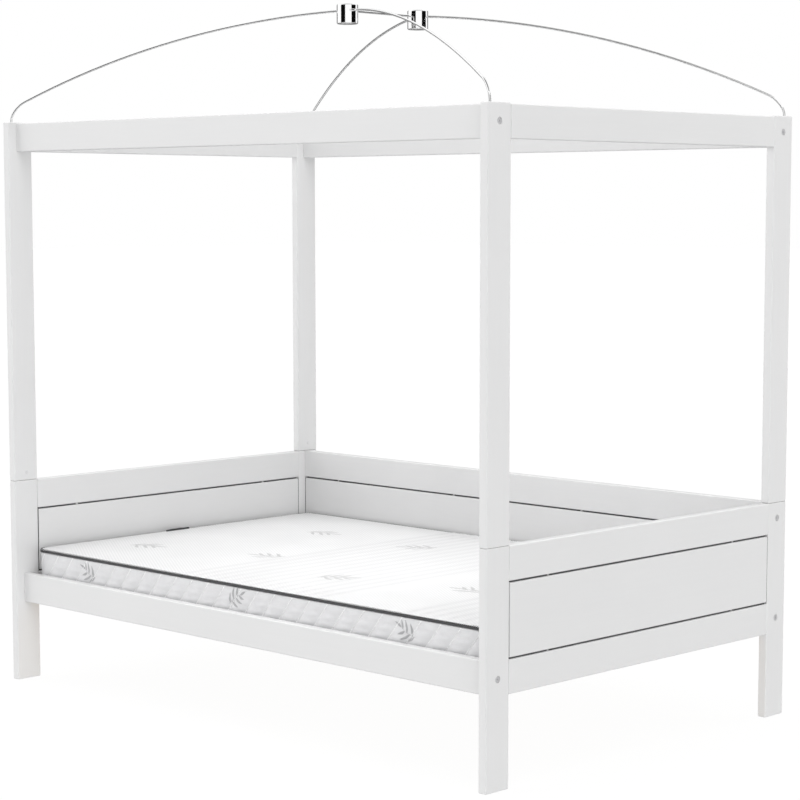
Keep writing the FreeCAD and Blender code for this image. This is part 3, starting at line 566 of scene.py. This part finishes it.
def rim(distance):
    """Points and outward directions on the mattress's outline, from the front left corner towards +X."""
    distance = np.mod(np.asarray(distance, dtype=float), ROUND)
    points = np.zeros(distance.shape + (2,))
    outward = np.zeros_like(points)
    start = 0.0
    for side in range(4):
        turn = -math.pi / 2.0 + side * math.pi / 2.0
        normal = np.array([math.cos(turn), math.sin(turn)])
        heading = np.array([-normal[1], normal[0]])
        run = STRAIGHT[side % 2]
        reach = HALF[1 - side % 2]
        inside = (distance >= start) & (distance < start + run)
        along = distance - start - run / 2.0
        points[inside] = normal * reach + heading * along[inside][:, None]
        outward[inside] = normal
        start += run
        inside = (distance >= start) & (distance < start + ARC + TINY)
        angle = turn + (distance - start) / CORNER
        spoke = np.stack([np.cos(angle), np.sin(angle)], axis=-1)
        centre = normal * (reach - CORNER) + heading * run / 2.0
        points[inside] = centre + CORNER * spoke[inside]
        outward[inside] = spoke[inside]
        start += ARC
    return points, outward


def simulate(name, points, faces, pinned):
    """How far an air-filled cloth with some points held moves from its first shape."""
    mesh = bpy.data.meshes.new(name)
    mesh.from_pydata(points.tolist(), [], faces)
    item = bpy.data.objects.new(name, mesh)
    scene.collection.objects.link(item)
    group = item.vertex_groups.new(name="pinned")
    group.add(np.flatnonzero(pinned).tolist(), 1.0, "REPLACE")
    cloth = item.modifiers.new("cloth", "CLOTH")
    cloth.settings.quality = CLOTH_QUALITY
    cloth.settings.vertex_group_mass = "pinned"
    cloth.settings.use_pressure = True
    cloth.settings.uniform_pressure_force = CLOTH_PRESSURE
    cloth.settings.effector_weights.gravity = 0.0
    cloth.collision_settings.use_collision = False
    cloth.point_cache.frame_start = 1
    cloth.point_cache.frame_end = CLOTH_FRAMES
    for number in range(1, CLOTH_FRAMES + 1):
        scene.frame_set(number)
    settled = item.evaluated_get(bpy.context.evaluated_depsgraph_get()).data
    moved = np.zeros(len(points) * 3)
    settled.vertices.foreach_get("co", moved)
    bpy.data.objects.remove(item)
    bpy.data.meshes.remove(mesh)
    scene.frame_set(1)
    return moved.reshape(-1, 3) - points


def scaled(rise, area, height):
    """A rise over one area, brought to a height that nearly all of it keeps under."""
    full = np.percentile(rise[area], FULL_PERCENT)
    return np.clip(rise * (height / max(full, TINY)), 0.0, RISE_LIMIT * height)


def border():
    """The border band: its grid leans with the sewn lines, which hold it in while the rest puffs out."""
    share = (np.arange(PANEL_COUNT)[:, None] + np.array(PANEL_STEPS)[None, :]).ravel() / PANEL_COUNT
    column_run = share * ROUND
    low = LOW_SEAM + GROOVE_HALF
    high = HIGH_SEAM - GROOVE_HALF
    fall = np.linspace(0.0, 1.0, BORDER_ROWS + 1)
    bunched = 0.5 - 0.5 * np.cos(math.pi * fall) * ROW_BUNCH_SHARE + (fall - 0.5) * (1.0 - ROW_BUNCH_SHARE)
    heights = low + (high - low) * bunched
    run = column_run[None, :] + (heights[:, None] - low) / math.tan(PANEL_LEAN)
    points, outward = rim(run)
    level = (heights[:, None] - low) / (high - low) * np.ones_like(run)
    edge = np.sin(math.pi * level) ** 0.5
    inset = EDGE_INSET + (SEWN_INSET - EDGE_INSET) * edge
    across = np.tile(np.array(PANEL_STEPS), PANEL_COUNT)[None, :] * np.ones_like(run)
    sewn = across == 0.0
    held = sewn | (level < NEAR) | (level > 1.0 - NEAR)
    up = np.broadcast_to(heights[:, None, None], run.shape + (1,))
    first = np.concatenate([points - outward * inset[..., None], up], -1).reshape(-1, 3)
    faces = grid_faces(BORDER_ROWS + 1, len(column_run), closed=True).tolist()
    moved = simulate("border_cloth_sim", first, faces, held.ravel()).reshape(run.shape + (3,))
    rise = np.clip((moved[..., :2] * outward).sum(-1), 0.0, None)
    inset = inset - scaled(rise, ~held, PUFF) * edge
    tucked = GROOVE_INSET * np.ones(run.shape[1])
    rows = [(tucked, low - BORDER_TUCK, run[0])]
    rows += [(inset[number], heights[number], run[number]) for number in range(BORDER_ROWS + 1)]
    rows.append((tucked, high + BORDER_TUCK, run[-1]))
    stacked = []
    for row_inset, height, row_run in rows:
        point, out = rim(row_run)
        flat = point - out * row_inset[:, None]
        stacked.append(np.column_stack([flat, np.full(len(flat), BASE + height)]))
    # the sewn columns carry the painted highlight along the border's sewn lines
    marks = np.concatenate([np.zeros(run.shape[1]), sewn.astype(float).ravel(), np.zeros(run.shape[1])])
    faces = grid_faces(len(rows), run.shape[1], closed=True)
    return np.concatenate(stacked), faces, marks, (run, heights, inset)


def rounded_grid(xs, ys, half, corner):
    """A level grid whose corner squares are bent into quarter rounds."""
    x, y = np.meshgrid(xs, ys, indexing="ij")
    u = np.clip((np.abs(x) - (half[0] - corner)) / corner, 0.0, 1.0)
    v = np.clip((np.abs(y) - (half[1] - corner)) / corner, 0.0, 1.0)
    in_corner = (u > 0) & (v > 0)
    bent_x = np.where(in_corner, half[0] - corner + corner * u * np.sqrt(1.0 - v * v / 2.0), np.abs(x))
    bent_y = np.where(in_corner, half[1] - corner + corner * v * np.sqrt(1.0 - u * u / 2.0), np.abs(y))
    return np.sign(x) * bent_x, np.sign(y) * bent_y


def depth_in(x, y, half, corner):
    """Distance in from a rounded outline."""
    qx = np.abs(x) - (half[0] - corner)
    qy = np.abs(y) - (half[1] - corner)
    outside = np.hypot(np.maximum(qx, 0.0), np.maximum(qy, 0.0)) + np.minimum(np.maximum(qx, qy), 0.0)
    return corner - outside


def grid_line(half, step, through=0.0):
    """Even steps that pass through one value, with closer steps at both ends."""
    close = half - np.array(CLOSE_STEPS)
    count = 2 * (int(half / step) + 2)
    even = through + step * np.arange(-count, count)
    even = even[np.abs(even) < half - EVEN_START]
    return np.concatenate([-close, even, close[::-1]])


def outer_ring(rows, columns):
    """Indices of a grid's outer points, in order round it."""
    grid = np.arange(rows * columns).reshape(rows, columns)
    return np.concatenate([grid[:-1, 0], grid[-1, :-1], grid[:0:-1, -1], grid[0, :0:-1]])


def panel_grid(xs, ys, inset):
    """A panel's points and their depth in from its outline."""
    half = HALF - inset
    corner = CORNER - inset
    x, y = rounded_grid(xs, ys, half, corner)
    return x, y, np.maximum(depth_in(x, y, half, corner), 0.0)


def top_panel():
    """The top's grid lines and points, and how near each point is to a sewn line, which sets the painted shade
    in the ripple valleys.
    """
    xs = grid_line(HALF[0] - TOP_INSET, RIPPLE_PITCH / RIPPLE_STEPS, RIPPLE_ZONES[0][0])
    ys = grid_line(HALF[1] - TOP_INSET, TOP_STEP)
    x, y, depth = panel_grid(xs, ys, TOP_INSET)
    height = TOP_EDGE + np.interp(depth, CROWN_IN, CROWN_UP)
    held = depth < HELD_RIM
    zone = np.zeros(x.shape, dtype=bool)
    lines = []
    for start, end in RIPPLE_ZONES:
        zone |= (xs[:, None] >= start - NEAR) & (xs[:, None] <= end + NEAR)
        lines += list(np.arange(start, end + NEAR, RIPPLE_PITCH))
    for line in lines:
        held[np.argmin(np.abs(xs - line)), :] = True
    nearest = np.min(np.abs(xs[:, None] - np.array(lines)[None, :]), axis=1)
    # the sheet faces down and so does the air's push: the clip leaves only rounding errors at held points
    first = np.stack([x, y, height], axis=-1).reshape(-1, 3)
    faces = grid_faces(len(xs), len(ys)).tolist()
    rise = simulate("top_cloth_sim", first, faces, held.ravel())[:, 2].reshape(x.shape)
    rise = np.clip(rise, 0.0, None)
    rise = np.where(zone, scaled(rise, zone & ~held, RIPPLE_RISE), scaled(rise, ~zone & ~held, FIELD_RISE))
    # painted shade in the ripple valleys: full at a sewn line, faded out towards the rim
    valley_painted_shade = np.clip(1.0 - nearest / (RIPPLE_PITCH / 2.0), 0.0, 1.0) ** 1.3
    return xs, ys, x, y, height + rise, valley_painted_shade[:, None] * np.clip(depth / VALLEY_REACH, 0.0, 1.0)


def base_panel():
    xs = grid_line(HALF[0] - FOOT_INSET, FOOT_STEP)
    ys = grid_line(HALF[1] - FOOT_INSET, FOOT_STEP)
    x, y, _ = panel_grid(xs, ys, FOOT_INSET)
    return x, y, np.zeros_like(x)


def turned_in(x, y, z, ring_inset, ring_height):
    """A grid's points with one more ring, which goes into the groove; and the faces of both."""
    rows, columns = x.shape
    ring = outer_ring(rows, columns)
    points = np.stack([x, y, z], axis=-1).reshape(-1, 3)
    qx = np.clip(np.abs(points[ring, 0]) - (HALF[0] - CORNER), 0.0, None) * np.sign(points[ring, 0])
    qy = np.clip(np.abs(points[ring, 1]) - (HALF[1] - CORNER), 0.0, None) * np.sign(points[ring, 1])
    out = np.stack([qx, qy], axis=-1)
    out /= np.maximum(np.linalg.norm(out, axis=1), TINY)[:, None]
    tucked = points[ring].copy()
    tucked[:, :2] -= out * ring_inset
    tucked[:, 2] = ring_height
    faces = grid_faces(rows, columns)
    extra = len(points) + np.arange(len(ring))
    collar = np.stack([ring, np.roll(ring, -1), np.roll(extra, -1), extra], axis=-1)
    return np.concatenate([points, tucked]), np.concatenate([faces, collar])


def mesh_piece(name, points, faces, materials, kinds=None, marks=None):
    """A smooth piece that rides on the mattress."""
    mesh = bpy.data.meshes.new(name)
    mesh.from_pydata(points.tolist(), [], [list(face) for face in faces])
    for material in materials:
        mesh.materials.append(material)
    if kinds is not None:
        mesh.polygons.foreach_set("material_index", np.asarray(kinds, dtype=np.int32))
    # the sewn attribute carries painted light: shade in the top's ripple valleys and a highlight on the border's
    # sewn lines
    if marks is not None:
        layer = mesh.attributes.new("sewn", "FLOAT", "POINT")
        layer.data.foreach_set("value", np.asarray(marks, dtype=np.float32))
    mesh.polygons.foreach_set("use_smooth", np.ones(len(mesh.polygons), dtype=bool))
    mesh.validate()
    mesh.update()
    item = bpy.data.objects.new(name, mesh)
    scene.collection.objects.link(item)
    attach(item, "mattress")
    return item


def subdivide(item):
    finer = item.modifiers.new("finer", "SUBSURF")
    finer.levels = 1
    finer.render_levels = 1


def cover():
    """Top, border and base in one mesh. Gives back the grids that stitches and sprigs are laid on."""
    top_xs, top_ys, top_x, top_y, top_z, valley_painted_shade = top_panel()
    top_points, top_faces = turned_in(top_x, top_y, BASE + top_z, GROOVE_INSET - TOP_INSET,
                                      BASE + HIGH_SEAM + GROOVE_HALF - PANEL_TUCK)
    side_points, side_faces, side_marks, side_grid = border()
    low_x, low_y, low_z = base_panel()
    low_points, low_faces = turned_in(low_x, low_y, BASE + low_z, GROOVE_INSET - FOOT_INSET,
                                      BASE + LOW_SEAM - GROOVE_HALF + PANEL_TUCK)
    # the top's marks set the painted shade in its ripple valleys
    top_marks = np.zeros(len(top_points))
    top_marks[:valley_painted_shade.size] = valley_painted_shade.ravel()
    parts = ((top_points, flipped(top_faces), top_marks), (side_points, side_faces, side_marks),
             (low_points, low_faces, np.zeros(len(low_points))))
    points, faces, kinds, marks = [], [], [], []
    count = 0
    for kind, (part_points, part_faces, part_marks) in enumerate(parts):
        points.append(part_points)
        faces.append(part_faces + count)
        kinds += [kind] * len(part_faces)
        marks.append(part_marks)
        count += len(part_points)
    item = mesh_piece("mattress_quilted_cover", np.concatenate(points), np.concatenate(faces),
                      (KNIT, BORDER_CLOTH, BASE_CLOTH), kinds, np.concatenate(marks))
    subdivide(item)
    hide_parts("mattress_cover")
    return (top_xs, top_ys, top_z), side_grid


TOP_GRID, SIDE_GRID = cover()


def top_height(x, y):
    """Height of the mattress top, for places clear of its corners."""
    xs, ys, z = TOP_GRID
    i = np.clip(np.searchsorted(xs, x) - 1, 0, len(xs) - 2)
    j = np.clip(np.searchsorted(ys, y) - 1, 0, len(ys) - 2)
    s = (x - xs[i]) / (xs[i + 1] - xs[i])
    t = (y - ys[j]) / (ys[j + 1] - ys[j])
    low = z[i, j] * (1 - s) + z[i + 1, j] * s
    high = z[i, j + 1] * (1 - s) + z[i + 1, j + 1] * s
    return BASE + low * (1 - t) + high * t


def side_point(run, height, lift):
    """A place on the border, lifted off it: run along the outline and height above the base."""
    grid_run, heights, inset = SIDE_GRID
    run = np.asarray(run, dtype=float)
    height = np.asarray(height, dtype=float)
    row = np.clip(np.searchsorted(heights, height) - 1, 0, len(heights) - 2)
    part = (height - heights[row]) / (heights[row + 1] - heights[row])
    found = np.zeros(run.shape)
    for index in np.ndindex(run.shape):
        levels = []
        for step in (0, 1):
            number = row[index] + step
            start = grid_run[number, 0]
            place = start + np.mod(run[index] - start, ROUND)
            levels.append(np.interp(place, np.append(grid_run[number], start + ROUND),
                                    np.append(inset[number], inset[number, 0])))
        found[index] = levels[0] * (1 - part[index]) + levels[1] * part[index]
    points, outward = rim(run)
    flat = points - outward * (found - lift)[..., None]
    return np.concatenate([flat, (BASE + height)[..., None]], axis=-1)


def piping(name, node, seam):
    """A taped cord along a seam, drawn in a little at every stitch."""
    drawn_share, stations_per_stitch = 0.05, 3.0
    uneven_share, uneven_turns = 0.02, 31.0
    station = np.arange(CORD_STATIONS)
    run = station * ROUND / CORD_STATIONS
    points, outward = rim(run)
    turn = np.arange(CORD_SIDES) * 2.0 * math.pi / CORD_SIDES
    pucker = 1.0 - drawn_share * np.abs(np.sin(math.pi * station / stations_per_stitch))
    swell = CORD_RADIUS * (pucker - uneven_share * np.sin(run * uneven_turns) ** 2)
    side = np.cos(turn)[:, None] * swell[None, :] - CORD_INSET
    up = np.sin(turn)[:, None] * swell[None, :]
    flat = points[None, :, :] + outward[None, :, :] * side[..., None]
    cord = np.concatenate([flat, (BASE + seam + up)[..., None]], axis=-1)
    faces = ring_faces(CORD_SIDES, CORD_STATIONS)
    item = mesh_piece(name, cord.reshape(-1, 3), faces, (PIPING_TAPE,))
    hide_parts(node)


piping("mattress_upper_cord", "mattress_top_piping", HIGH_SEAM)
piping("mattress_lower_cord", "mattress_bottom_piping", LOW_SEAM)


def strands(name, starts, ends, lifts, radius, material, slot):
    """Many short stitches: round-ended strands from start to end, bowed out by their lift."""
    sides = 6
    # place along the strand, girth and bow, as shares
    station_shares = ((0.0, 0.35, 0.0), (0.12, 0.85, 0.55), (0.5, 1.0, 1.0), (0.88, 0.85, 0.55),
                      (1.0, 0.35, 0.0))
    axis = ends - starts
    length = np.linalg.norm(axis, axis=1)[:, None]
    axis = axis / length
    out = lifts - (lifts * axis).sum(1)[:, None] * axis
    rise = np.linalg.norm(out, axis=1)[:, None]
    out = out / np.maximum(rise, TINY)
    across = np.cross(out, axis)
    turn = (np.arange(sides) * 2.0 * math.pi / sides)[None, :, None]
    ring = np.cos(turn) * across[:, None, :] + np.sin(turn) * out[:, None, :]
    rings = []
    for place, girth, bow in station_shares:
        middle = starts + axis * length * place + out * rise * bow
        rings.append(middle[:, None, :] + ring * radius * girth)
    count = len(rings)
    local = grid_faces(count, sides, closed=True).tolist()
    local.append(list(range(sides - 1, -1, -1)))
    local.append(list(range((count - 1) * sides, count * sides)))
    faces = []
    for shift in range(0, len(starts) * count * sides, count * sides):
        faces += [[shift + corner for corner in face] for face in local]
    mesh_piece(name, np.stack(rings, axis=1).reshape(-1, 3), faces, (material,))


def border_stitches():
    """White quilting stitches along the sewn lines of the border."""
    per_line, gap_share = 15, 0.22
    end_gap, lift, bow, radius = 0.003, 0.0003, 0.0005, 0.0011
    origin = LOW_SEAM + GROOVE_HALF
    low = origin + end_gap
    high = HIGH_SEAM - GROOVE_HALF - end_gap
    begin = low + (high - low) * np.arange(per_line) / per_line
    finish = begin + (high - low) / per_line * (1.0 - gap_share)
    line = np.arange(PANEL_COUNT)[:, None] * ROUND / PANEL_COUNT
    start_run = line + (begin[None, :] - origin) / math.tan(PANEL_LEAN)
    end_run = line + (finish[None, :] - origin) / math.tan(PANEL_LEAN)
    rows = np.ones((PANEL_COUNT, 1))
    starts = side_point(start_run, rows * begin[None, :], lift).reshape(-1, 3)
    ends = side_point(end_run, rows * finish[None, :], lift).reshape(-1, 3)
    outward = rim(start_run)[1].reshape(-1, 2)
    lifts = np.column_stack([outward, np.zeros(len(outward))]) * bow
    strands("mattress_quilting_stitches", starts, ends, lifts, radius, WHITE_THREAD, "cover_fabric")


def edge_stitches():
    """Dark overcast stitches that bind the top to its cord."""
    count, radius = 860, 0.0008
    outer_inset, above_seam = 0.0006, 0.0030
    inner_inset, above_edge, lean_run = 0.0072, 0.0020, 0.0018
    bow_out, bow_up = 0.0006, 0.0013
    run = np.arange(count) * ROUND / count
    points, outward = rim(run)
    lean = rim(run + lean_run)[0] - points
    inner = points - outward * inner_inset + lean
    outer = points - outward * outer_inset
    starts = np.column_stack([outer, np.full(count, BASE + HIGH_SEAM + above_seam)])
    ends = np.column_stack([inner, np.full(count, BASE + TOP_EDGE + above_edge)])
    lifts = np.column_stack([outward * bow_out, np.full(count, bow_up)])
    strands("mattress_edge_stitches", starts, ends, lifts, radius, PIPING_TAPE, "piping_fabric")


border_stitches()
edge_stitches()


# Sprigs. Shares are of a sprig's size, apart from those of a leaf, which run along it or across it.

LEAF_ROWS = 9
LEAF_LEAST_HALF = 0.0003
ACROSS_SHARES = np.array([-1.0, -0.5, 0.0, 0.5, 1.0])
LEAF_ACROSS_SHARES = np.array([-1.0, -0.55, 0.0, 0.55, 1.0])
# how far each of the five points stands off the cloth, as a share of the lift
STEM_OFF_SHARES = np.array([-0.25, 0.5, 0.7, 0.5, -0.25])
LEAF_OFF_SHARES = np.array([-0.25, 0.8, 0.45, 0.8, -0.25])
STEM_ROWS = 15
STEM_SHARE = 0.66
STEM_HALF_SHARE = 0.008
CURVE_SHARE = 0.07
CURVE_TURN = 2.4
MIDDLE_SHARE = 0.42
LEAF_WIDTH_SHARE = 0.085
LEAF_BEND_SHARE = 0.22
# angle between leaf and stem at the root, and what it loses towards the tip
LEAF_ANGLE = 58.0
LEAF_ANGLE_LOSS = 12.0
# each leaf's place along the stem, its side and its length
LEAF_SHARES = ((0.10, 1, 0.34), (0.24, -1, 0.40), (0.40, 1, 0.44), (0.56, -1, 0.42),
               (0.72, 1, 0.36), (0.88, -1, 0.30), (1.0, 0, 0.32))
SPRIG_LIFT = 0.0005
SPRIG_CLEARANCE = 0.0002
TOP_SPRIG_SIZE = 0.135
# x, y and turn in degrees
TOP_SPRIGS = ((-0.760, -0.330, 20), (-0.330, -0.180, 200), (0.130, -0.330, 35), (0.560, -0.200, 190),
              (-0.560, 0.260, 15), (-0.110, 0.270, 215), (0.330, 0.180, 10), (0.770, 0.290, 205))
BORDER_SPRIG_SIZE = 0.086
BORDER_SPRIG_COUNT = 9
BORDER_SPRIG_START = 0.24
BORDER_SPRIG_HEIGHT = 0.078
BORDER_SPRIG_TURNS = (152, 28)


def turned(x, y, angle):
    return x * math.cos(angle) - y * math.sin(angle), x * math.sin(angle) + y * math.cos(angle)


def leaf(length, width, bend):
    """A leaf as rows of five points in its own plane, with each point's share of the lift off the cloth."""
    share = np.linspace(0.0, 1.0, LEAF_ROWS)
    half = width / 2.0 * np.sin(math.pi * share ** 0.8) ** 0.9 + LEAF_LEAST_HALF
    x = np.repeat(share[:, None] * length, len(LEAF_ACROSS_SHARES), axis=1)
    y = half[:, None] * LEAF_ACROSS_SHARES[None, :] + bend * length * (share - share ** 2)[:, None]
    return x, y, np.ones_like(x) * LEAF_OFF_SHARES


def sprig(size):
    """A stem with leaves on both sides and one at its tip: rows of points in a plane for each part."""
    share = np.linspace(0.0, 1.0, STEM_ROWS)
    curve = CURVE_SHARE * size * np.sin(share * CURVE_TURN)
    half = STEM_HALF_SHARE * size * (1.15 - 0.7 * share)
    x = np.repeat(share[:, None] * STEM_SHARE * size, len(ACROSS_SHARES), axis=1)
    y = curve[:, None] + half[:, None] * ACROSS_SHARES[None, :]
    parts = [(x, y, np.ones_like(x) * STEM_OFF_SHARES)]
    for place, side, reach in LEAF_SHARES:
        x, y, off = leaf(reach * size, LEAF_WIDTH_SHARE * size, LEAF_BEND_SHARE * side)
        x, y = turned(x, y, side * math.radians(LEAF_ANGLE - LEAF_ANGLE_LOSS * place))
        root_y = CURVE_SHARE * size * math.sin(CURVE_TURN * place)
        parts.append((STEM_SHARE * size * place + x, root_y + y, off))
    return parts


def sprigs(name, places, size, lay, material):
    """Raised embroidery: sprigs turned and put at their places, laid on the cloth by one function."""
    points, faces = [], []
    count = 0
    for first, second, turn in places:
        for x, y, off in sprig(size):
            u, v = turned(x - MIDDLE_SHARE * size, y, math.radians(turn))
            points.append(lay(first + u, second + v, off * SPRIG_LIFT + SPRIG_CLEARANCE).reshape(-1, 3))
            faces.append(flipped(grid_faces(*x.shape)) + count)
            count += x.size
    mesh_piece(name, np.concatenate(points), np.concatenate(faces), (material,))


def lay_on_top(x, y, off):
    return np.stack([x, y, top_height(x, y) + off], axis=-1)


BORDER_SPRIG_RUNS = np.arange(BORDER_SPRIG_COUNT) * ROUND / BORDER_SPRIG_COUNT + BORDER_SPRIG_START
BORDER_SPRIGS = [(float(run), BORDER_SPRIG_HEIGHT, BORDER_SPRIG_TURNS[number % 2])
                 for number, run in enumerate(BORDER_SPRIG_RUNS)]
sprigs("mattress_top_sprigs", TOP_SPRIGS, TOP_SPRIG_SIZE, lay_on_top, PALE_PRINT)
sprigs("mattress_border_sprigs", BORDER_SPRIGS, BORDER_SPRIG_SIZE, side_point, GREY_PRINT)


def seam_tab():
    """A plain folded loop of dark tape, sewn into the seam at the left end."""
    length, thickness = 0.100, 0.0011
    middle, inset, above_seam = -0.012, 0.0070, 0.0004
    stations = 26
    # the loop's section, out from the seam and up, as it goes up, over the fold and down again
    section = np.array([(-0.0012, 0.0010), (-0.0017, 0.0045), (-0.0014, 0.0085), (-0.0004, 0.0112),
                        (0.0014, 0.0120), (0.0028, 0.0108), (0.0032, 0.0085), (0.0028, 0.0045),
                        (0.0020, 0.0010)])
    sway, sway_turns = 0.0005, 5.0
    share = np.linspace(-1.0, 1.0, stations)
    swell = 1.0 - 0.10 * share ** 2 + 0.03 * np.sin(share * 9.0)
    points = np.zeros((stations, len(section), 3))
    points[:, :, 0] = -HALF[0] + inset + section[None, :, 0] + sway * np.sin(share * sway_turns)[:, None]
    points[:, :, 1] = (middle + length / 2.0 * share)[:, None]
    points[:, :, 2] = BASE + HIGH_SEAM + above_seam + section[None, :, 1] * swell[:, None]
    item = mesh_piece("mattress_seam_tab", points.reshape(-1, 3), grid_faces(stations, len(section)),
                      (TAB_TAPE,))
    thick = item.modifiers.new("thick", "SOLIDIFY")
    thick.thickness = thickness
    subdivide(item)


seam_tab()


# Studio. Bearings are in degrees from +X, elevations in degrees.

CAMERA_YAW = 44.21
CAMERA_PITCH = 5.97
CAMERA_PLACE = (4.8686, -4.8494, 1.5192)
CAMERA_SHIFT = (-0.0237, 0.050)
FOCAL_PIXELS = 2240.1
IMAGE_PIXELS = 800.0
SENSOR_WIDTH = 36.0
VIEW_REACH = 200.0
FLOOR_REACH = 60.0
SKY_STRENGTH = 2.00
# each dark flag's bearing, half its width, its top and its level as a light
FLAGS = ((CAMERA_YAW - 90.0 - 47.0, 25.0, 62.0, 0.01), (CAMERA_YAW - 90.0 + 74.0, 28.0, 62.0, 0.07),
         (CAMERA_YAW + 90.0, 45.0, 40.0, 0.35))
# the flags that gloss sees, and the band of elevation and the level in which it sees them
GLOSS_FLAGS = FLAGS[:2]
GLOSS_FLAG_BAND = (-18.0, 36.0)
FLAG_LEVEL = 0.003
# what gloss sees below and above these elevations, and low on the far side
FLOOR_EDGE = -20.0
FLOOR_LEVEL = 0.42
ZENITH_EDGE = 60.0
ZENITH_LEVEL = 0.16
FAR_SIDE = CAMERA_YAW + 90.0
FAR_HALF = 52.0
FAR_TOP = 20.0
FAR_LEVEL = 0.24
# level of all the white that gloss sees
GLOSS_LEVEL = 1.04


def studio_world():
    """A white surround with dark flags in it. Gloss sees only some of them, and grey areas besides."""
    sky = Nodes(bpy.data.worlds.new("studio"))
    scene.world = sky.owner
    split = sky.add("ShaderNodeSeparateXYZ")
    sky.link(sky.add("ShaderNodeTexCoord").outputs["Generated"], split.inputs[0])
    bearing = sky.math("ARCTAN2", split.outputs["Y"], split.outputs["X"])

    def lower_than(elevation):
        return sky.math("LESS_THAN", split.outputs["Z"], math.sin(math.radians(elevation)))

    def between(middle, half, elevation):
        turned_by = sky.math("COSINE", sky.math("SUBTRACT", bearing, math.radians(middle)))
        inside = sky.math("GREATER_THAN", turned_by, math.cos(math.radians(half)))
        return sky.math("MULTIPLY", inside, lower_than(elevation))

    def product(levels):
        total = levels[0]
        for level in levels[1:]:
            total = sky.math("MULTIPLY", total, level)
        return total

    low, high = GLOSS_FLAG_BAND
    clear = sky.math("SUBTRACT", 1.0, lower_than(low))
    gloss_flags = [sky.math("MULTIPLY", between(*flag[:2], high), clear) for flag in GLOSS_FLAGS]
    light_level = product([SKY_STRENGTH] + [sky.span(between(*flag[:3]), 1.0, flag[3]) for flag in FLAGS])
    far_side = between(FAR_SIDE, FAR_HALF, FAR_TOP)
    gloss_level = product([sky.span(far_side, GLOSS_LEVEL, GLOSS_LEVEL * FAR_LEVEL),
                           sky.span(lower_than(FLOOR_EDGE), 1.0, FLOOR_LEVEL),
                           sky.span(lower_than(ZENITH_EDGE), ZENITH_LEVEL, 1.0)]
                          + [sky.span(flag, 1.0, FLAG_LEVEL) for flag in gloss_flags])
    rays = sky.add("ShaderNodeLightPath")
    glossy = rays.outputs["Is Glossy Ray"]
    lit = sky.math("ADD", sky.math("MULTIPLY", glossy, gloss_level),
                   sky.math("MULTIPLY", sky.math("SUBTRACT", 1.0, glossy), light_level))
    unseen = sky.math("SUBTRACT", 1.0, rays.outputs["Is Camera Ray"])
    strength = sky.math("ADD", sky.math("MULTIPLY", lit, unseen), rays.outputs["Is Camera Ray"])
    light = sky.add("ShaderNodeBackground")
    sky.fill(light, Color=(1.0, 1.0, 1.0, 1.0), Strength=strength)
    sky.link(light.outputs[0], sky.add("ShaderNodeOutputWorld").inputs["Surface"])


def area_light(name, place, aim, size, power, spread=180.0):
    light = bpy.data.lights.new(name, "AREA")
    light.shape = "RECTANGLE"
    light.size, light.size_y = size
    light.energy = power
    light.spread = math.radians(spread)
    item = bpy.data.objects.new(name, light)
    item.location = place
    item.rotation_euler = (Vector(aim) - Vector(place)).to_track_quat("-Z", "Y").to_euler()
    item.visible_glossy = False
    scene.collection.objects.link(item)


def floor():
    """A pale lit floor, bright enough that only a trace of shadow shows on it."""
    corners = [(x * FLOOR_REACH, y * FLOOR_REACH, 0) for x, y in ((-1, -1), (1, -1), (1, 1), (-1, 1))]
    mesh = bpy.data.meshes.new("floor")
    mesh.from_pydata(corners, [], [(0, 1, 2, 3)])
    item = bpy.data.objects.new("floor", mesh)
    scene.collection.objects.link(item)
    tree = Finish("floor_white")
    colour = tree.blend(tree.noise(1.3, 2.0), (0.040, 0.040, 0.040), (0.045, 0.045, 0.045))
    material = tree.done(Base_Color=colour, Roughness=0.9, Specular_IOR_Level=0.0,
                         Emission_Color=(1.0, 1.0, 1.0, 1.0), Emission_Strength=0.955)
    material.cycles.emission_sampling = "NONE"
    mesh.materials.append(material)
    item.visible_glossy = False


def photo_camera():
    """The camera, as it was fitted to the photo."""
    lens = bpy.data.cameras.new("camera")
    lens.sensor_width = SENSOR_WIDTH
    lens.lens = FOCAL_PIXELS * SENSOR_WIDTH / IMAGE_PIXELS
    lens.shift_x, lens.shift_y = CAMERA_SHIFT
    lens.clip_end = VIEW_REACH
    camera = bpy.data.objects.new("camera", lens)
    camera.location = CAMERA_PLACE
    camera.rotation_euler = (math.radians(90.0 - CAMERA_PITCH), 0.0, math.radians(CAMERA_YAW))
    scene.collection.objects.link(camera)
    scene.camera = camera
    scene.view_settings.view_transform = "Standard"


studio_world()
area_light("overhead_softbox", place=(0.4, -0.6, 4.6), aim=(0.0, 0.0, 0.4), size=(4.2, 3.4), power=6.0)
# a soft pool of light in the middle of the mattress
area_light("mattress_spot", place=(0.1, -0.18, 6.0), aim=(0.1, -0.18, 0.5), size=(0.9, 0.4), power=0.75,
           spread=16.0)
floor()
photo_camera()
